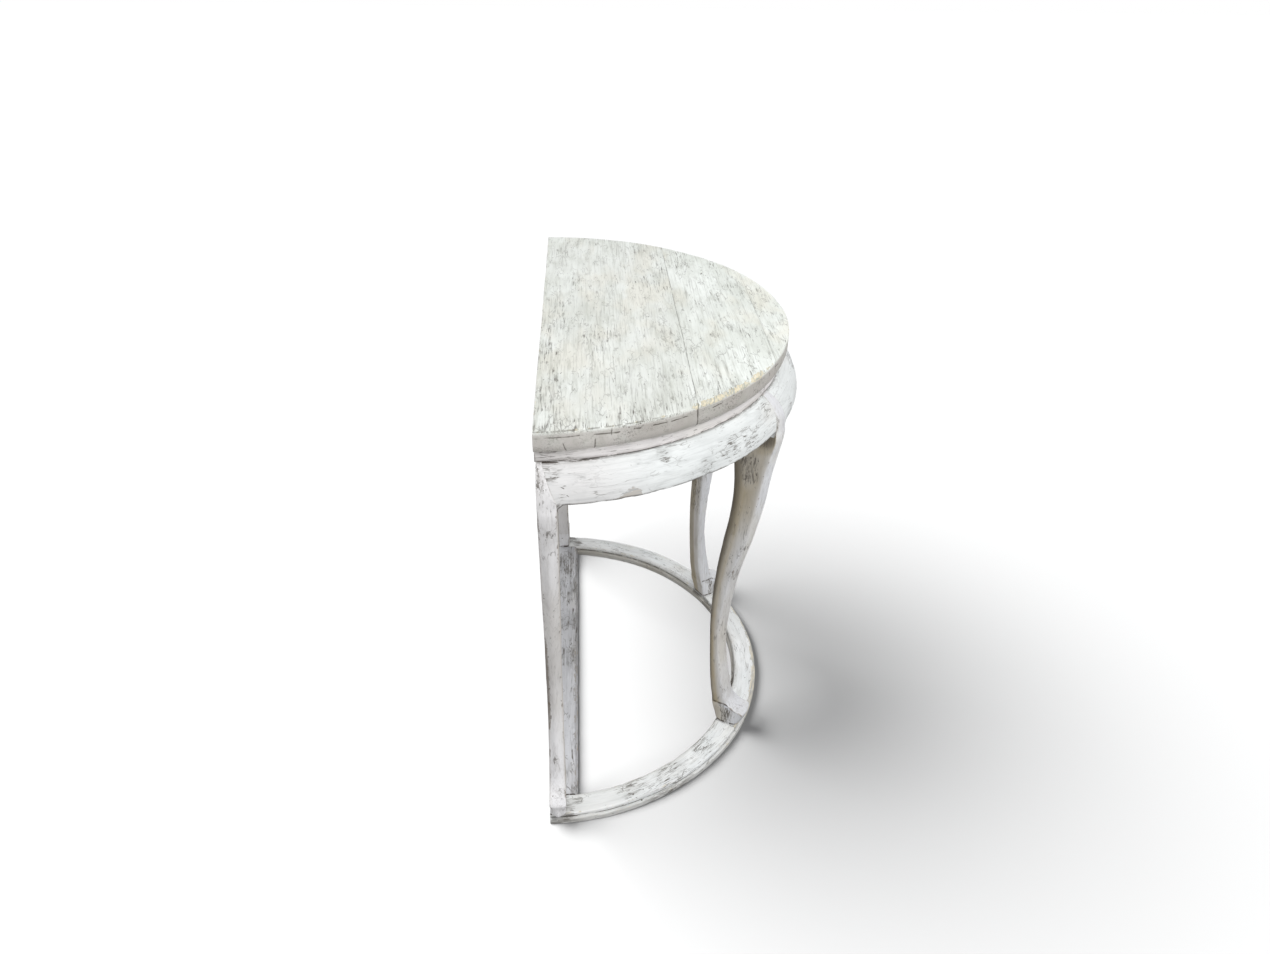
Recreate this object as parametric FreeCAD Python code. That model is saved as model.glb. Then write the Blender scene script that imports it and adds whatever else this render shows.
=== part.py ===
import FreeCAD, Part
import math
import os

# Half-round table, millimetres. X runs along the width, the curved front faces -Y, the flat back +Y, Z is up.
# Everything is modelled about the upright axis in the middle of the flat back and moved to the frame when saved.

# Driving sizes
TOP_RADIUS = 450.0
TABLE_HEIGHT = 845.0
TOP_THICKNESS = 38.0
WAIST_HEIGHT = 20.0
WAIST_SETBACK = 12.0
WAIST_THICKNESS = 14.0
APRON_HEIGHT = 56.0
APRON_LEDGE = 3.0
APRON_BULGE = 24.0
APRON_FOOT_DEPTH = 34.0
BRACKET_REACH = 17.0
BRACKET_DROP = 12.0
FRONT_LEG_ANGLE = 60.0
FRONT_LEG_WIDTH = 44.0
BACK_LEG_WIDTH = 33.0
BACK_LEG_SETBACK = 3.0
LEG_SWING = 50.0
STRETCHER_HEIGHT = 22.0
STRETCHER_INSET = 42.0
STRETCHER_WIDTH = 44.0
STRETCHER_LIP = 4.5
BACK_RAIL_WIDTH = 52.0
BACK_BOARD_SETBACK = 3.0
BACK_APRON_THICKNESS = 22.0

# Joints
CLEARANCE = 0.3
END_ROOM = 1.0
SEAM_SHARES = (0.551, 0.878)
SEAM_TONGUE_THICKNESS = 8.0
SEAM_TONGUE_DEPTH = 8.0
SEAM_TONGUE_STOP = 45.0
SEAM_TONGUE_LEVEL = 0.6
WAIST_TONGUE_THICKNESS = 6.0
WAIST_TONGUE_DEPTH = 5.0
MITRE_HALF_TOP = 10.0
MITRE_HALF_BOTTOM = 22.0
BACK_MITRE_TOP = 12.0
BACK_MITRE_BOTTOM = 33.0
POST_INSET = 50.0
POST_GAP = 1.5
RIB_NECK = 5.0
RIB_HEAD = 8.5
RIB_PROJECTION = 8.5
RIB_EDGE = 5.5
FRONT_RIB_EDGE = 4.5
RIB_LENGTH = 30.0
RIB_TOP_GAP = 4.0
TOP_TENON_WIDTH = 22.0
TOP_TENON_DEPTH = 14.0
TOP_TENON_LENGTH = 18.0
FOOT_TENON_WIDTH = 18.0
FOOT_TENON_DEPTH = 18.0
FOOT_TENON_INSET = 22.0
FOOT_TENON_LENGTH = 17.0
BACK_FOOT_TENON_WIDTH = 12.0
BACK_FOOT_TENON_INSET = 16.0
LAP_HALF_ANGLE = 3.0
RAIL_TENON_LENGTH = 14.0
RAIL_TENON_THICKNESS = 9.0
RAIL_TENON_WIDTH = 26.0
BOARD_TENON_LENGTH = 13.0
BOARD_TENON_THICKNESS = 9.0
BOARD_TENON_SHOULDER = 9.0
WAIST_TENON_SHOULDER = 5.0
BATTEN_SHARE = 0.267
BATTEN_BODY_WIDTH = 24.0
BATTEN_BODY_HEIGHT = 18.0
BATTEN_HEAD_WIDTH = 34.0
BATTEN_HEAD_HEIGHT = 11.0
BATTEN_FRONT_STOP = 60.0
BATTEN_BODY_STOP = 10.0

# Top edge and stretcher mouldings
TOP_EDGE_ROUND = 4.0
TOP_UNDERCUT = 8.0
TOP_UNDERCUT_HEIGHT = 12.0
GROOVE_LEVEL = 0.61
GROOVE_DEPTH = 2.5
GROOVE_HEIGHT = 2.0
TIER_ROUND = 3.0

# Leg outline from the stretcher (share 0) to the apron (share 1): share of height, then outer arris and inner
# face from the top's radius and crown of the outer face in shares of LEG_SWING, then share of a front leg's
# width and share of a back leg's width
LEG_ROWS = (
    (0.0000, -0.040, -0.870, 0.060, 0.990, 0.930),
    (0.0085, 0.080, -0.900, 0.060, 1.030, 0.945),
    (0.0197, 0.160, -0.946, 0.060, 1.040, 0.945),
    (0.0324, 0.220, -0.986, 0.060, 1.040, 0.945),
    (0.0437, 0.260, -1.020, 0.060, 1.040, 0.945),
    (0.0508, 0.260, -1.046, 0.060, 1.030, 0.945),
    (0.0543, 0.160, -1.056, 0.060, 1.020, 0.940),
    (0.0564, -0.040, -1.064, 0.060, 1.020, 0.940),
    (0.0606, -0.180, -1.080, 0.070, 1.010, 0.935),
    (0.0677, -0.320, -1.100, 0.090, 1.000, 0.930),
    (0.0790, -0.450, -1.130, 0.100, 0.965, 0.915),
    (0.0945, -0.550, -1.174, 0.110, 0.940, 0.905),
    (0.1157, -0.620, -1.232, 0.120, 0.920, 0.900),
    (0.1410, -0.690, -1.276, 0.130, 0.900, 0.890),
    (0.1693, -0.770, -1.316, 0.140, 0.885, 0.885),
    (0.2299, -0.920, -1.384, 0.140, 0.870, 0.880),
    (0.3004, -1.006, -1.432, 0.140, 0.870, 0.880),
    (0.3710, -0.970, -1.460, 0.140, 0.880, 0.880),
    (0.4410, -0.870, -1.440, 0.140, 0.890, 0.890),
    (0.5120, -0.740, -1.380, 0.140, 0.900, 0.900),
    (0.5750, -0.550, -1.300, 0.140, 0.910, 0.920),
    (0.6460, -0.310, -1.170, 0.140, 0.930, 0.935),
    (0.7160, -0.110, -1.020, 0.140, 0.950, 0.950),
    (0.7730, 0.030, -0.940, 0.140, 0.960, 0.960),
    (0.8290, 0.140, -0.920, 0.130, 0.970, 0.970),
    (0.8720, 0.230, -0.950, 0.120, 0.990, 0.975),
    (0.9140, 0.350, -0.990, 0.100, 1.000, 0.980),
    (0.9490, 0.460, -1.000, 0.070, 1.000, 0.985),
    (0.9700, 0.510, -1.000, 0.050, 1.000, 0.985),
    (0.9870, 0.500, -0.992, 0.030, 0.990, 0.985),
    (1.0000, 0.446, -0.984, 0.016, 0.970, 0.980),
)

# Derived sizes
TOP_UNDER = TABLE_HEIGHT - TOP_THICKNESS
APRON_TOP = TOP_UNDER - WAIST_HEIGHT
APRON_BOTTOM = APRON_TOP - APRON_HEIGHT
APRON_RADIUS = TOP_RADIUS + APRON_BULGE
WAIST_RADIUS = TOP_RADIUS - WAIST_SETBACK
WAIST_INNER = WAIST_RADIUS - WAIST_THICKNESS
POST_INNER = TOP_RADIUS - POST_INSET
POST_OUTER = WAIST_INNER - POST_GAP
STRETCHER_INNER = TOP_RADIUS - STRETCHER_INSET
STRETCHER_OUTER = STRETCHER_INNER + STRETCHER_WIDTH
STRETCHER_MID = STRETCHER_HEIGHT / 2.0
FOOT_TENON_MID = TOP_RADIUS - FOOT_TENON_INSET
BACK_FOOT_TENON_MID = TOP_RADIUS - BACK_FOOT_TENON_INSET
BATTEN_X = TOP_RADIUS * BATTEN_SHARE
FAR = 3.0 * TOP_RADIUS
BACK_Y = APRON_RADIUS / 2.0

ORIGIN = FreeCAD.Vector(0, 0, 0)
UP = FreeCAD.Vector(0, 0, 1)
DOWN = FreeCAD.Vector(0, 0, -1)


def vec(r, z):
    return FreeCAD.Vector(r, 0, z)


def line(a, b):
    return Part.LineSegment(vec(*a), vec(*b)).toShape()


def arc(a, middle, b):
    return Part.Arc(vec(*a), vec(*middle), vec(*b)).toShape()


def face_of(edges):
    return Part.Face(Part.Wire(edges))


def polygon(points):
    return Part.Face(Part.makePolygon(points + points[:1]))


def sweep(face, start, end):
    solid = face.revolve(ORIGIN, DOWN, end - start)
    return turned(solid, start)


def turned(shape, angle):
    out = shape.copy()
    out.rotate(ORIGIN, UP, -angle)
    return out


def mirrored(shape):
    return shape.mirror(ORIGIN, FreeCAD.Vector(1, 0, 0))


def block(x0, x1, y0, y1, z0, z1):
    return Part.makeBox(x1 - x0, y1 - y0, z1 - z0, FreeCAD.Vector(x0, y0, z0))


def fused(shapes):
    return shapes[0].fuse(shapes[1:]).removeSplitter()


def both_sides(shape):
    return [shape, mirrored(shape)]


def save(name, shape):
    placed = shape.Solids[0].copy()
    placed.translate(FreeCAD.Vector(0, BACK_Y, 0))
    placed.exportStep(os.path.join("parts", name + ".step"))


# Legs

def level(share):
    return STRETCHER_HEIGHT + share * (APRON_BOTTOM - STRETCHER_HEIGHT)


def leg_section(row, v0, v1, crown):
    outer, inner = TOP_RADIUS + LEG_SWING * row[1], TOP_RADIUS + LEG_SWING * row[2]
    z = level(row[0])
    corners = [FreeCAD.Vector(inner, v0, z), FreeCAD.Vector(outer, v0, z),
               FreeCAD.Vector(outer, v1, z), FreeCAD.Vector(inner, v1, z)]
    peak = FreeCAD.Vector(outer + LEG_SWING * crown, (v0 + v1) / 2.0, z)
    edges = [Part.LineSegment(corners[0], corners[1]).toShape(),
             Part.Arc(corners[1], peak, corners[2]).toShape(),
             Part.LineSegment(corners[2], corners[3]).toShape(),
             Part.LineSegment(corners[3], corners[0]).toShape()]
    return Part.Wire(edges)


def front_leg_body():
    half = FRONT_LEG_WIDTH / 2.0
    return Part.makeLoft([leg_section(row, -half * row[4], half * row[4], row[3]) for row in LEG_ROWS], True)


def back_leg_body():
    sections = []
    for row in LEG_ROWS:
        sections.append(leg_section(row, -BACK_LEG_WIDTH * row[5], -BACK_LEG_SETBACK * row[0], row[3] / 2.0))
    return Part.makeLoft(sections, True)


def apron_outline(inner_top, inner_bottom):
    top = (WAIST_RADIUS + APRON_LEDGE, APRON_TOP)
    foot = (APRON_RADIUS, APRON_BOTTOM)
    run = foot[0] - top[0]
    bow = (run ** 2 + APRON_HEIGHT ** 2) / (2.0 * run)
    turn = math.asin(APRON_HEIGHT / bow) / 2.0
    middle = (APRON_RADIUS - bow + bow * math.cos(turn), APRON_BOTTOM + bow * math.sin(turn))
    return face_of([arc(top, middle, foot), line(foot, inner_bottom), line(inner_bottom, inner_top),
                    line(inner_top, top)])


def bulge_limit():
    return sweep(apron_outline((POST_INNER, APRON_TOP), (POST_INNER, APRON_BOTTOM)), -90, 90)


def mitre_prism(v_top, v_bottom):
    points = [(v_bottom[0], APRON_BOTTOM), (v_bottom[1], APRON_BOTTOM), (v_top[1], APRON_TOP), (v_top[0], APRON_TOP)]
    face = polygon([FreeCAD.Vector(POST_INNER, v, z) for v, z in points])
    return face.extrude(FreeCAD.Vector(TOP_RADIUS - POST_INNER + 4.0 * APRON_BULGE, 0, 0))


def front_mitre():
    return mitre_prism((-MITRE_HALF_TOP, MITRE_HALF_TOP), (-MITRE_HALF_BOTTOM, MITRE_HALF_BOTTOM))


def back_mitre(edge):
    return mitre_prism((-BACK_MITRE_TOP, edge), (-BACK_MITRE_BOTTOM, edge))


def rib(middle, room):
    top = APRON_TOP - RIB_TOP_GAP
    neck = RIB_NECK / 2.0 + room
    head = RIB_HEAD / 2.0 + room
    base = POST_OUTER - RIB_PROJECTION * 0.2
    tip = POST_OUTER + RIB_PROJECTION + room
    outline = [(base, middle - neck), (tip, middle - head), (tip, middle + head), (base, middle + neck)]
    low = top - RIB_LENGTH - 2.0 * room * APRON_HEIGHT
    face = polygon([FreeCAD.Vector(u, v, low) for u, v in outline])
    return face.extrude(FreeCAD.Vector(0, 0, top + room - low))


def front_ribs(room):
    middle = FRONT_LEG_WIDTH / 2.0 - FRONT_RIB_EDGE
    return [rib(middle, room), rib(-middle, room)]


def back_ribs(room):
    return [rib(RIB_EDGE - BACK_LEG_WIDTH, room)]


def top_tenon(v_middle, width, room):
    u_middle = (POST_INNER + POST_OUTER) / 2.0
    half_u = TOP_TENON_DEPTH / 2.0 + room
    half_v = width / 2.0 + room
    end = TOP_UNDER + TOP_TENON_LENGTH + (END_ROOM if room else 0.0)
    return block(u_middle - half_u, u_middle + half_u, v_middle - half_v, v_middle + half_v, TOP_UNDER, end)


def foot_tenon(u_middle, v_middle, width, room):
    half_u = FOOT_TENON_DEPTH / 2.0 + room
    half_v = width / 2.0 + room
    end = STRETCHER_HEIGHT - FOOT_TENON_LENGTH - (END_ROOM if room else 0.0)
    return block(u_middle - half_u, u_middle + half_u, v_middle - half_v, v_middle + half_v, end, STRETCHER_HEIGHT)


def front_top_tenon(room):
    return top_tenon(0.0, TOP_TENON_WIDTH, room)


def back_top_tenon(room):
    return top_tenon(-BACK_LEG_WIDTH / 2.0, BACK_LEG_WIDTH / 2.0, room)


def front_foot_tenon(room):
    return foot_tenon(FOOT_TENON_MID, 0.0, FOOT_TENON_WIDTH, room)


def back_foot_tenon(room):
    return foot_tenon(BACK_FOOT_TENON_MID, -0.4 * BACK_LEG_WIDTH, BACK_FOOT_TENON_WIDTH, room)


def board_tenon(y_middle, low, high, room):
    half = BOARD_TENON_THICKNESS / 2.0 + room
    length = BOARD_TENON_LENGTH + (END_ROOM if room else 0.0)
    return block(POST_INNER, POST_INNER + length, y_middle - half, y_middle + half, low - room, high + room)


def back_apron_tenon(room):
    middle = -BACK_BOARD_SETBACK - BACK_APRON_THICKNESS / 2.0
    return board_tenon(middle, APRON_BOTTOM + BOARD_TENON_SHOULDER, APRON_TOP - BOARD_TENON_SHOULDER, room)


def back_waist_tenon(room):
    middle = -BACK_BOARD_SETBACK - WAIST_THICKNESS / 2.0
    return board_tenon(middle, APRON_TOP + WAIST_TENON_SHOULDER, TOP_UNDER - WAIST_TENON_SHOULDER, room)


def front_leg():
    half = FRONT_LEG_WIDTH / 2.0
    post = block(POST_INNER, POST_OUTER, -half, half, APRON_BOTTOM, TOP_UNDER)
    knee = front_mitre().common(bulge_limit())
    leg = fused([front_leg_body(), post, knee, front_top_tenon(0.0), front_foot_tenon(0.0)] + front_ribs(0.0))
    return turned(leg, FRONT_LEG_ANGLE)


def back_leg():
    post = block(POST_INNER, POST_OUTER, -BACK_LEG_WIDTH, -BACK_LEG_SETBACK, APRON_BOTTOM, TOP_UNDER)
    knee = back_mitre(-BACK_LEG_SETBACK).common(bulge_limit())
    leg = fused([back_leg_body(), post, knee, back_top_tenon(0.0), back_foot_tenon(0.0)] + back_ribs(0.0))
    return leg.cut([back_apron_tenon(CLEARANCE), back_waist_tenon(CLEARANCE)])


# Aprons and waist

def apron_ring(start, end):
    inner_bottom = (APRON_RADIUS - APRON_FOOT_DEPTH, APRON_BOTTOM)
    return sweep(apron_outline((WAIST_INNER, APRON_TOP), inner_bottom), start, end)


def bracket(start, side):
    near = start + CLEARANCE
    bury = BRACKET_DROP / 4.0
    corner = (near, APRON_BOTTOM - BRACKET_DROP)
    end = (near + BRACKET_REACH, APRON_BOTTOM)
    middle = (near + 0.29 * BRACKET_REACH, APRON_BOTTOM - 0.29 * BRACKET_DROP)
    top_end = (end[0], APRON_BOTTOM + bury)
    top_near = (near, APRON_BOTTOM + bury)
    points = [FreeCAD.Vector(0, side * v, z) for v, z in (corner, middle, end, top_end, top_near)]
    edges = [Part.Arc(points[0], points[1], points[2]).toShape()]
    edges += [Part.LineSegment(a, b).toShape() for a, b in zip(points[2:], points[3:] + points[:1])]
    prism = face_of(edges).extrude(FreeCAD.Vector(FAR, 0, 0))
    inner = APRON_RADIUS - APRON_FOOT_DEPTH + CLEARANCE
    outer = APRON_RADIUS - CLEARANCE
    limit = polygon([vec(inner, 0), vec(outer, 0), vec(outer, TABLE_HEIGHT), vec(inner, TABLE_HEIGHT)])
    return prism.common(sweep(limit, -90, 90))


def front_leg_sockets():
    return [front_mitre()] + front_ribs(CLEARANCE)


def apron_right():
    at_leg = [turned(shape, FRONT_LEG_ANGLE) for shape in front_leg_sockets()]
    brackets = [turned(bracket(FRONT_LEG_WIDTH / 2.0, 1), FRONT_LEG_ANGLE), bracket(BACK_LEG_WIDTH, -1)]
    board = apron_ring(0, FRONT_LEG_ANGLE).cut(at_leg + [back_mitre(0.0)] + back_ribs(CLEARANCE))
    return fused([board] + brackets)


def apron_front():
    right = [turned(shape, FRONT_LEG_ANGLE) for shape in front_leg_sockets()]
    left = [mirrored(shape) for shape in right]
    board = apron_ring(FRONT_LEG_ANGLE, 180 - FRONT_LEG_ANGLE).cut(right + left)
    return fused([board] + both_sides(turned(bracket(FRONT_LEG_WIDTH / 2.0, -1), FRONT_LEG_ANGLE)))


def apron_back():
    board = block(-POST_INNER, POST_INNER, -BACK_BOARD_SETBACK - BACK_APRON_THICKNESS, -BACK_BOARD_SETBACK,
                  APRON_BOTTOM, APRON_TOP)
    return fused([board] + both_sides(back_apron_tenon(0.0)))


def waist_tongue_outline(room):
    middle = (WAIST_RADIUS + WAIST_INNER) / 2.0
    half = WAIST_TONGUE_THICKNESS / 2.0 + room
    end = TOP_UNDER + WAIST_TONGUE_DEPTH + (END_ROOM if room else 0.0)
    return polygon([vec(middle - half, TOP_UNDER), vec(middle + half, TOP_UNDER), vec(middle + half, end),
                    vec(middle - half, end)])


def waist_strip(start, end):
    band = polygon([vec(WAIST_INNER, APRON_TOP), vec(WAIST_RADIUS, APRON_TOP), vec(WAIST_RADIUS, TOP_UNDER),
                    vec(WAIST_INNER, TOP_UNDER)])
    return fused([sweep(band, start, end), sweep(waist_tongue_outline(0.0), start, end)])


def waist_back():
    board = block(-POST_INNER, POST_INNER, -BACK_BOARD_SETBACK - WAIST_THICKNESS, -BACK_BOARD_SETBACK, APRON_TOP,
                  TOP_UNDER)
    return fused([board] + both_sides(back_waist_tenon(0.0)))


# Top

def half_disc():
    under = (TOP_RADIUS - TOP_UNDERCUT, TOP_UNDER)
    side_low = (TOP_RADIUS, TOP_UNDER + TOP_UNDERCUT_HEIGHT)
    side_high = (TOP_RADIUS, TABLE_HEIGHT - TOP_EDGE_ROUND)
    top = (TOP_RADIUS - TOP_EDGE_ROUND, TABLE_HEIGHT)
    low_middle = (TOP_RADIUS - 0.3 * TOP_UNDERCUT, TOP_UNDER + 0.32 * TOP_UNDERCUT_HEIGHT)
    high_middle = (TOP_RADIUS - 0.3 * TOP_EDGE_ROUND, TABLE_HEIGHT - 0.3 * TOP_EDGE_ROUND)
    edges = [line((0, TOP_UNDER), under), arc(under, low_middle, side_low), line(side_low, side_high),
             arc(side_high, high_middle, top), line(top, (0, TABLE_HEIGHT)), line((0, TABLE_HEIGHT), (0, TOP_UNDER))]
    return sweep(face_of(edges), 0, 180)


def batten_head(room):
    top = TOP_UNDER + BATTEN_HEAD_HEIGHT + room
    neck = BATTEN_BODY_WIDTH / 2.0 + room
    head = BATTEN_HEAD_WIDTH / 2.0 + room
    outline = [(BATTEN_X - neck, TOP_UNDER), (BATTEN_X + neck, TOP_UNDER), (BATTEN_X + head, top),
               (BATTEN_X - head, top)]
    length = TOP_RADIUS - BATTEN_FRONT_STOP + (END_ROOM if room else 0.0)
    return polygon([vec(x, z) for x, z in outline]).extrude(FreeCAD.Vector(0, -length, 0))


def batten():
    half = BATTEN_BODY_WIDTH / 2.0
    start = -BACK_BOARD_SETBACK - BACK_APRON_THICKNESS - END_ROOM
    end = BATTEN_FRONT_STOP + BATTEN_BODY_STOP - TOP_RADIUS
    body = block(BATTEN_X - half, BATTEN_X + half, end, start, TOP_UNDER - BATTEN_BODY_HEIGHT, TOP_UNDER)
    return fused([batten_head(0.0), body])


def grooved_disc():
    right = [turned(front_top_tenon(CLEARANCE), FRONT_LEG_ANGLE), back_top_tenon(CLEARANCE), batten_head(CLEARANCE)]
    left = [mirrored(shape) for shape in right]
    groove = sweep(waist_tongue_outline(CLEARANCE), 0, 180)
    return half_disc().cut(right + left + [groove])


def seam_tongue(depth, room):
    half = math.sqrt(TOP_RADIUS ** 2 - depth ** 2) - SEAM_TONGUE_STOP + room
    middle = TOP_UNDER + SEAM_TONGUE_LEVEL * TOP_THICKNESS
    half_z = SEAM_TONGUE_THICKNESS / 2.0 + room
    end = -depth + SEAM_TONGUE_DEPTH + room
    return block(-half, half, -depth, end, middle - half_z, middle + half_z)


def top_planks():
    disc = grooved_disc()
    seams = [share * TOP_RADIUS for share in SEAM_SHARES]
    limits = [0.0] + seams + [2.0 * TOP_RADIUS]
    planks = []
    for near, far in zip(limits[:-1], limits[1:]):
        plank = disc.common(block(-FAR, FAR, -far, -near, 0, 2.0 * TABLE_HEIGHT))
        if near > 0:
            plank = fused([plank, seam_tongue(near, 0.0)])
        if far in seams:
            plank = plank.cut(seam_tongue(far, CLEARANCE))
        planks.append(plank)
    return planks


# Floor stretcher

def inner_moulding(room):
    groove_low = GROOVE_LEVEL * STRETCHER_HEIGHT - GROOVE_HEIGHT / 2.0
    groove_high = groove_low + GROOVE_HEIGHT
    points = [(STRETCHER_INNER - STRETCHER_LIP + TIER_ROUND / 2.0, 0.0),
              (STRETCHER_INNER - STRETCHER_LIP, TIER_ROUND / 2.0),
              (STRETCHER_INNER - STRETCHER_LIP, groove_low - TIER_ROUND),
              (STRETCHER_INNER, groove_low),
              (STRETCHER_INNER + GROOVE_DEPTH, groove_low),
              (STRETCHER_INNER + GROOVE_DEPTH, groove_high),
              (STRETCHER_INNER, groove_high),
              (STRETCHER_INNER, STRETCHER_HEIGHT - TIER_ROUND),
              (STRETCHER_INNER + TIER_ROUND, STRETCHER_HEIGHT)]
    return [(r - room, z) for r, z in points]


def stretcher_ring(start, end):
    inner = inner_moulding(0.0)
    middle = STRETCHER_INNER + STRETCHER_WIDTH / 2.0
    outer = [(2.0 * middle - r, z) for r, z in reversed(inner)]
    return sweep(polygon([vec(r, z) for r, z in inner + outer]), start, end)


def lap(low, high):
    cover = block(0, FAR, -FAR, FAR, low, high)
    return stretcher_ring(FRONT_LEG_ANGLE - LAP_HALF_ANGLE, FRONT_LEG_ANGLE + LAP_HALF_ANGLE).common(cover)


def rail_tenon(room):
    middle_y = -BACK_RAIL_WIDTH / 2.0
    half_y = RAIL_TENON_WIDTH / 2.0 + room
    half_z = RAIL_TENON_THICKNESS / 2.0 + room
    end = STRETCHER_INNER + RAIL_TENON_LENGTH + (END_ROOM if room else 0.0)
    return block(STRETCHER_INNER - STRETCHER_WIDTH, end, middle_y - half_y, middle_y + half_y, STRETCHER_MID - half_z,
                 STRETCHER_MID + half_z)


def stretcher_right():
    side = stretcher_ring(0, FRONT_LEG_ANGLE + LAP_HALF_ANGLE).cut(lap(STRETCHER_MID, STRETCHER_HEIGHT))
    front_mortise = turned(front_foot_tenon(CLEARANCE), FRONT_LEG_ANGLE)
    return side.cut([front_mortise, back_foot_tenon(CLEARANCE), rail_tenon(CLEARANCE)])


def stretcher_front():
    right_lap = lap(0, STRETCHER_MID)
    right_mortise = turned(front_foot_tenon(CLEARANCE), FRONT_LEG_ANGLE)
    ring = stretcher_ring(FRONT_LEG_ANGLE - LAP_HALF_ANGLE, 180 - FRONT_LEG_ANGLE + LAP_HALF_ANGLE)
    return ring.cut(both_sides(right_lap) + both_sides(right_mortise))


def stretcher_back():
    tier = BACK_RAIL_WIDTH - STRETCHER_LIP
    front = [(r - STRETCHER_INNER - tier, z) for r, z in reversed(inner_moulding(0.0))]
    outline = [(0.0, 0.0), (0.0, STRETCHER_HEIGHT)] + front
    face = polygon([FreeCAD.Vector(-STRETCHER_OUTER, y, z) for y, z in outline])
    rail = face.extrude(FreeCAD.Vector(2.0 * STRETCHER_OUTER, 0, 0))
    cope = inner_moulding(CLEARANCE) + [(FAR, STRETCHER_HEIGHT), (FAR, 0.0)]
    rail = rail.cut(sweep(polygon([vec(r, z) for r, z in cope]), -90, 270))
    return fused([rail] + both_sides(rail_tenon(0.0)))


os.makedirs("parts", exist_ok=True)
for plank_name, plank_shape in zip(("top_plank_back", "top_plank_middle", "top_plank_front"), top_planks()):
    save(plank_name, plank_shape)
for stem, maker in (("top_batten", batten), ("leg_front", front_leg), ("leg_back", back_leg), ("apron", apron_right),
                    ("stretcher", stretcher_right)):
    right_piece = maker()
    save(stem + "_right", right_piece)
    save(stem + "_left", mirrored(right_piece))
save("waist_right", waist_strip(0, FRONT_LEG_ANGLE))
save("waist_left", waist_strip(180 - FRONT_LEG_ANGLE, 180))
save("waist_front", waist_strip(FRONT_LEG_ANGLE, 180 - FRONT_LEG_ANGLE))
save("waist_back", waist_back())
save("apron_front", apron_front())
save("apron_back", apron_back())
save("stretcher_front", stretcher_front())
save("stretcher_back", stretcher_back())
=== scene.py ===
"""Half-round side table in old, worn white paint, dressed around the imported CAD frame.

Shapes are worked out in millimetres about the upright axis in the middle of the flat back, as in the part's
source, and turned into metres in the frame when a mesh is made. An angle of 0 is the right end, 90 the front
and 180 the left end.
"""

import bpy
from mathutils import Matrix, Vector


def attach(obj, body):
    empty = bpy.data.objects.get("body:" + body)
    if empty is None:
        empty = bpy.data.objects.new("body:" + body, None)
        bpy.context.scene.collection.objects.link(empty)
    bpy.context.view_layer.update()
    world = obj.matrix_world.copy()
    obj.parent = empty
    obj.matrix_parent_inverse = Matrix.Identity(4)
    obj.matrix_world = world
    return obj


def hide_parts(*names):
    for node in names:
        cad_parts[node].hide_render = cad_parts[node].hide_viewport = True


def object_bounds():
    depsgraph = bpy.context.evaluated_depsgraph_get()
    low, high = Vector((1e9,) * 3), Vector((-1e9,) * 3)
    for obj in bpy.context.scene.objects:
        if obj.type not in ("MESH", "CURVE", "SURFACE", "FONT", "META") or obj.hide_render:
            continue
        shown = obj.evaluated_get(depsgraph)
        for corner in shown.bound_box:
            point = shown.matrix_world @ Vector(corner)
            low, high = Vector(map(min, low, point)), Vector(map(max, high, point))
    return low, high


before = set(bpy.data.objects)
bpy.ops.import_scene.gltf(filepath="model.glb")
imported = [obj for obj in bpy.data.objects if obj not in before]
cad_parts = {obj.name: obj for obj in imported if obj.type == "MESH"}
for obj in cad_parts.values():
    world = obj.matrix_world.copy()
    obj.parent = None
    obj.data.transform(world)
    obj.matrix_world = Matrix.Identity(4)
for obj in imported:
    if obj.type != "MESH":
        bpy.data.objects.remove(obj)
cad_box = [list(corner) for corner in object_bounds()]

import cmath
import math

import bmesh
import bpy
from mathutils import Matrix, Vector, noise

MM = 0.001
noise.seed_set(7)

# Sizes of the CAD frame
BACK_Y = 237.0
BACK_SETBACK = 3.0
TOP_RADIUS = 450.0
TABLE_HEIGHT = 845.0
TOP_UNDER = 807.0
SEAMS = (247.95, 395.1)
APRON_TOP = 787.0
APRON_BOTTOM = 731.0
APRON_RADIUS = 474.0
APRON_INNER = 440.0
APRON_BOW_CENTRE = 410.0
BACK_APRON_DEPTH = 22.0
WAIST_RADIUS = 438.0
WAIST_INNER = 424.0
WAIST_DEPTH = WAIST_RADIUS - WAIST_INNER
POST_INNER = 400.0
POST_OUTER = 422.5
POST_BOTTOM = 731.5
KNEE_INNER = 402.0
FRONT_LEG_ANGLE = 60.0
OTHER_LEG_ANGLE = 180.0 - FRONT_LEG_ANGLE
FRONT_LEG_HALF = 22.0
FRONT_MITRE_TOP = 10.0
BACK_LEG_WIDTH = 33.0
BACK_MITRE_TOP = 12.0
BRACKET_REACH = 17.0
BRACKET_DROP = 12.0
STRETCHER_HEIGHT = 22.0
STRETCHER_INNER = 408.0
STRETCHER_OUTER = 452.0
STRETCHER_MIDDLE = (STRETCHER_INNER + STRETCHER_OUTER) / 2.0
STRETCHER_LIP = 4.5
LAP_LEVEL = 11.0
LAP_HALF_ANGLE = 3.0
BACK_RAIL_WIDTH = 52.0
BATTEN_X = 120.15
BATTEN_BOTTOM = 789.0
BATTEN_LENGTH = 354.0
BATTEN_SETBACK = 26.0
BATTEN_NECK_HALF = 12.0
BATTEN_HEAD_HALF = 17.0
BATTEN_HEAD_HEIGHT = 11.0
BATTEN_HEAD_LENGTH = 390.0

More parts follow.
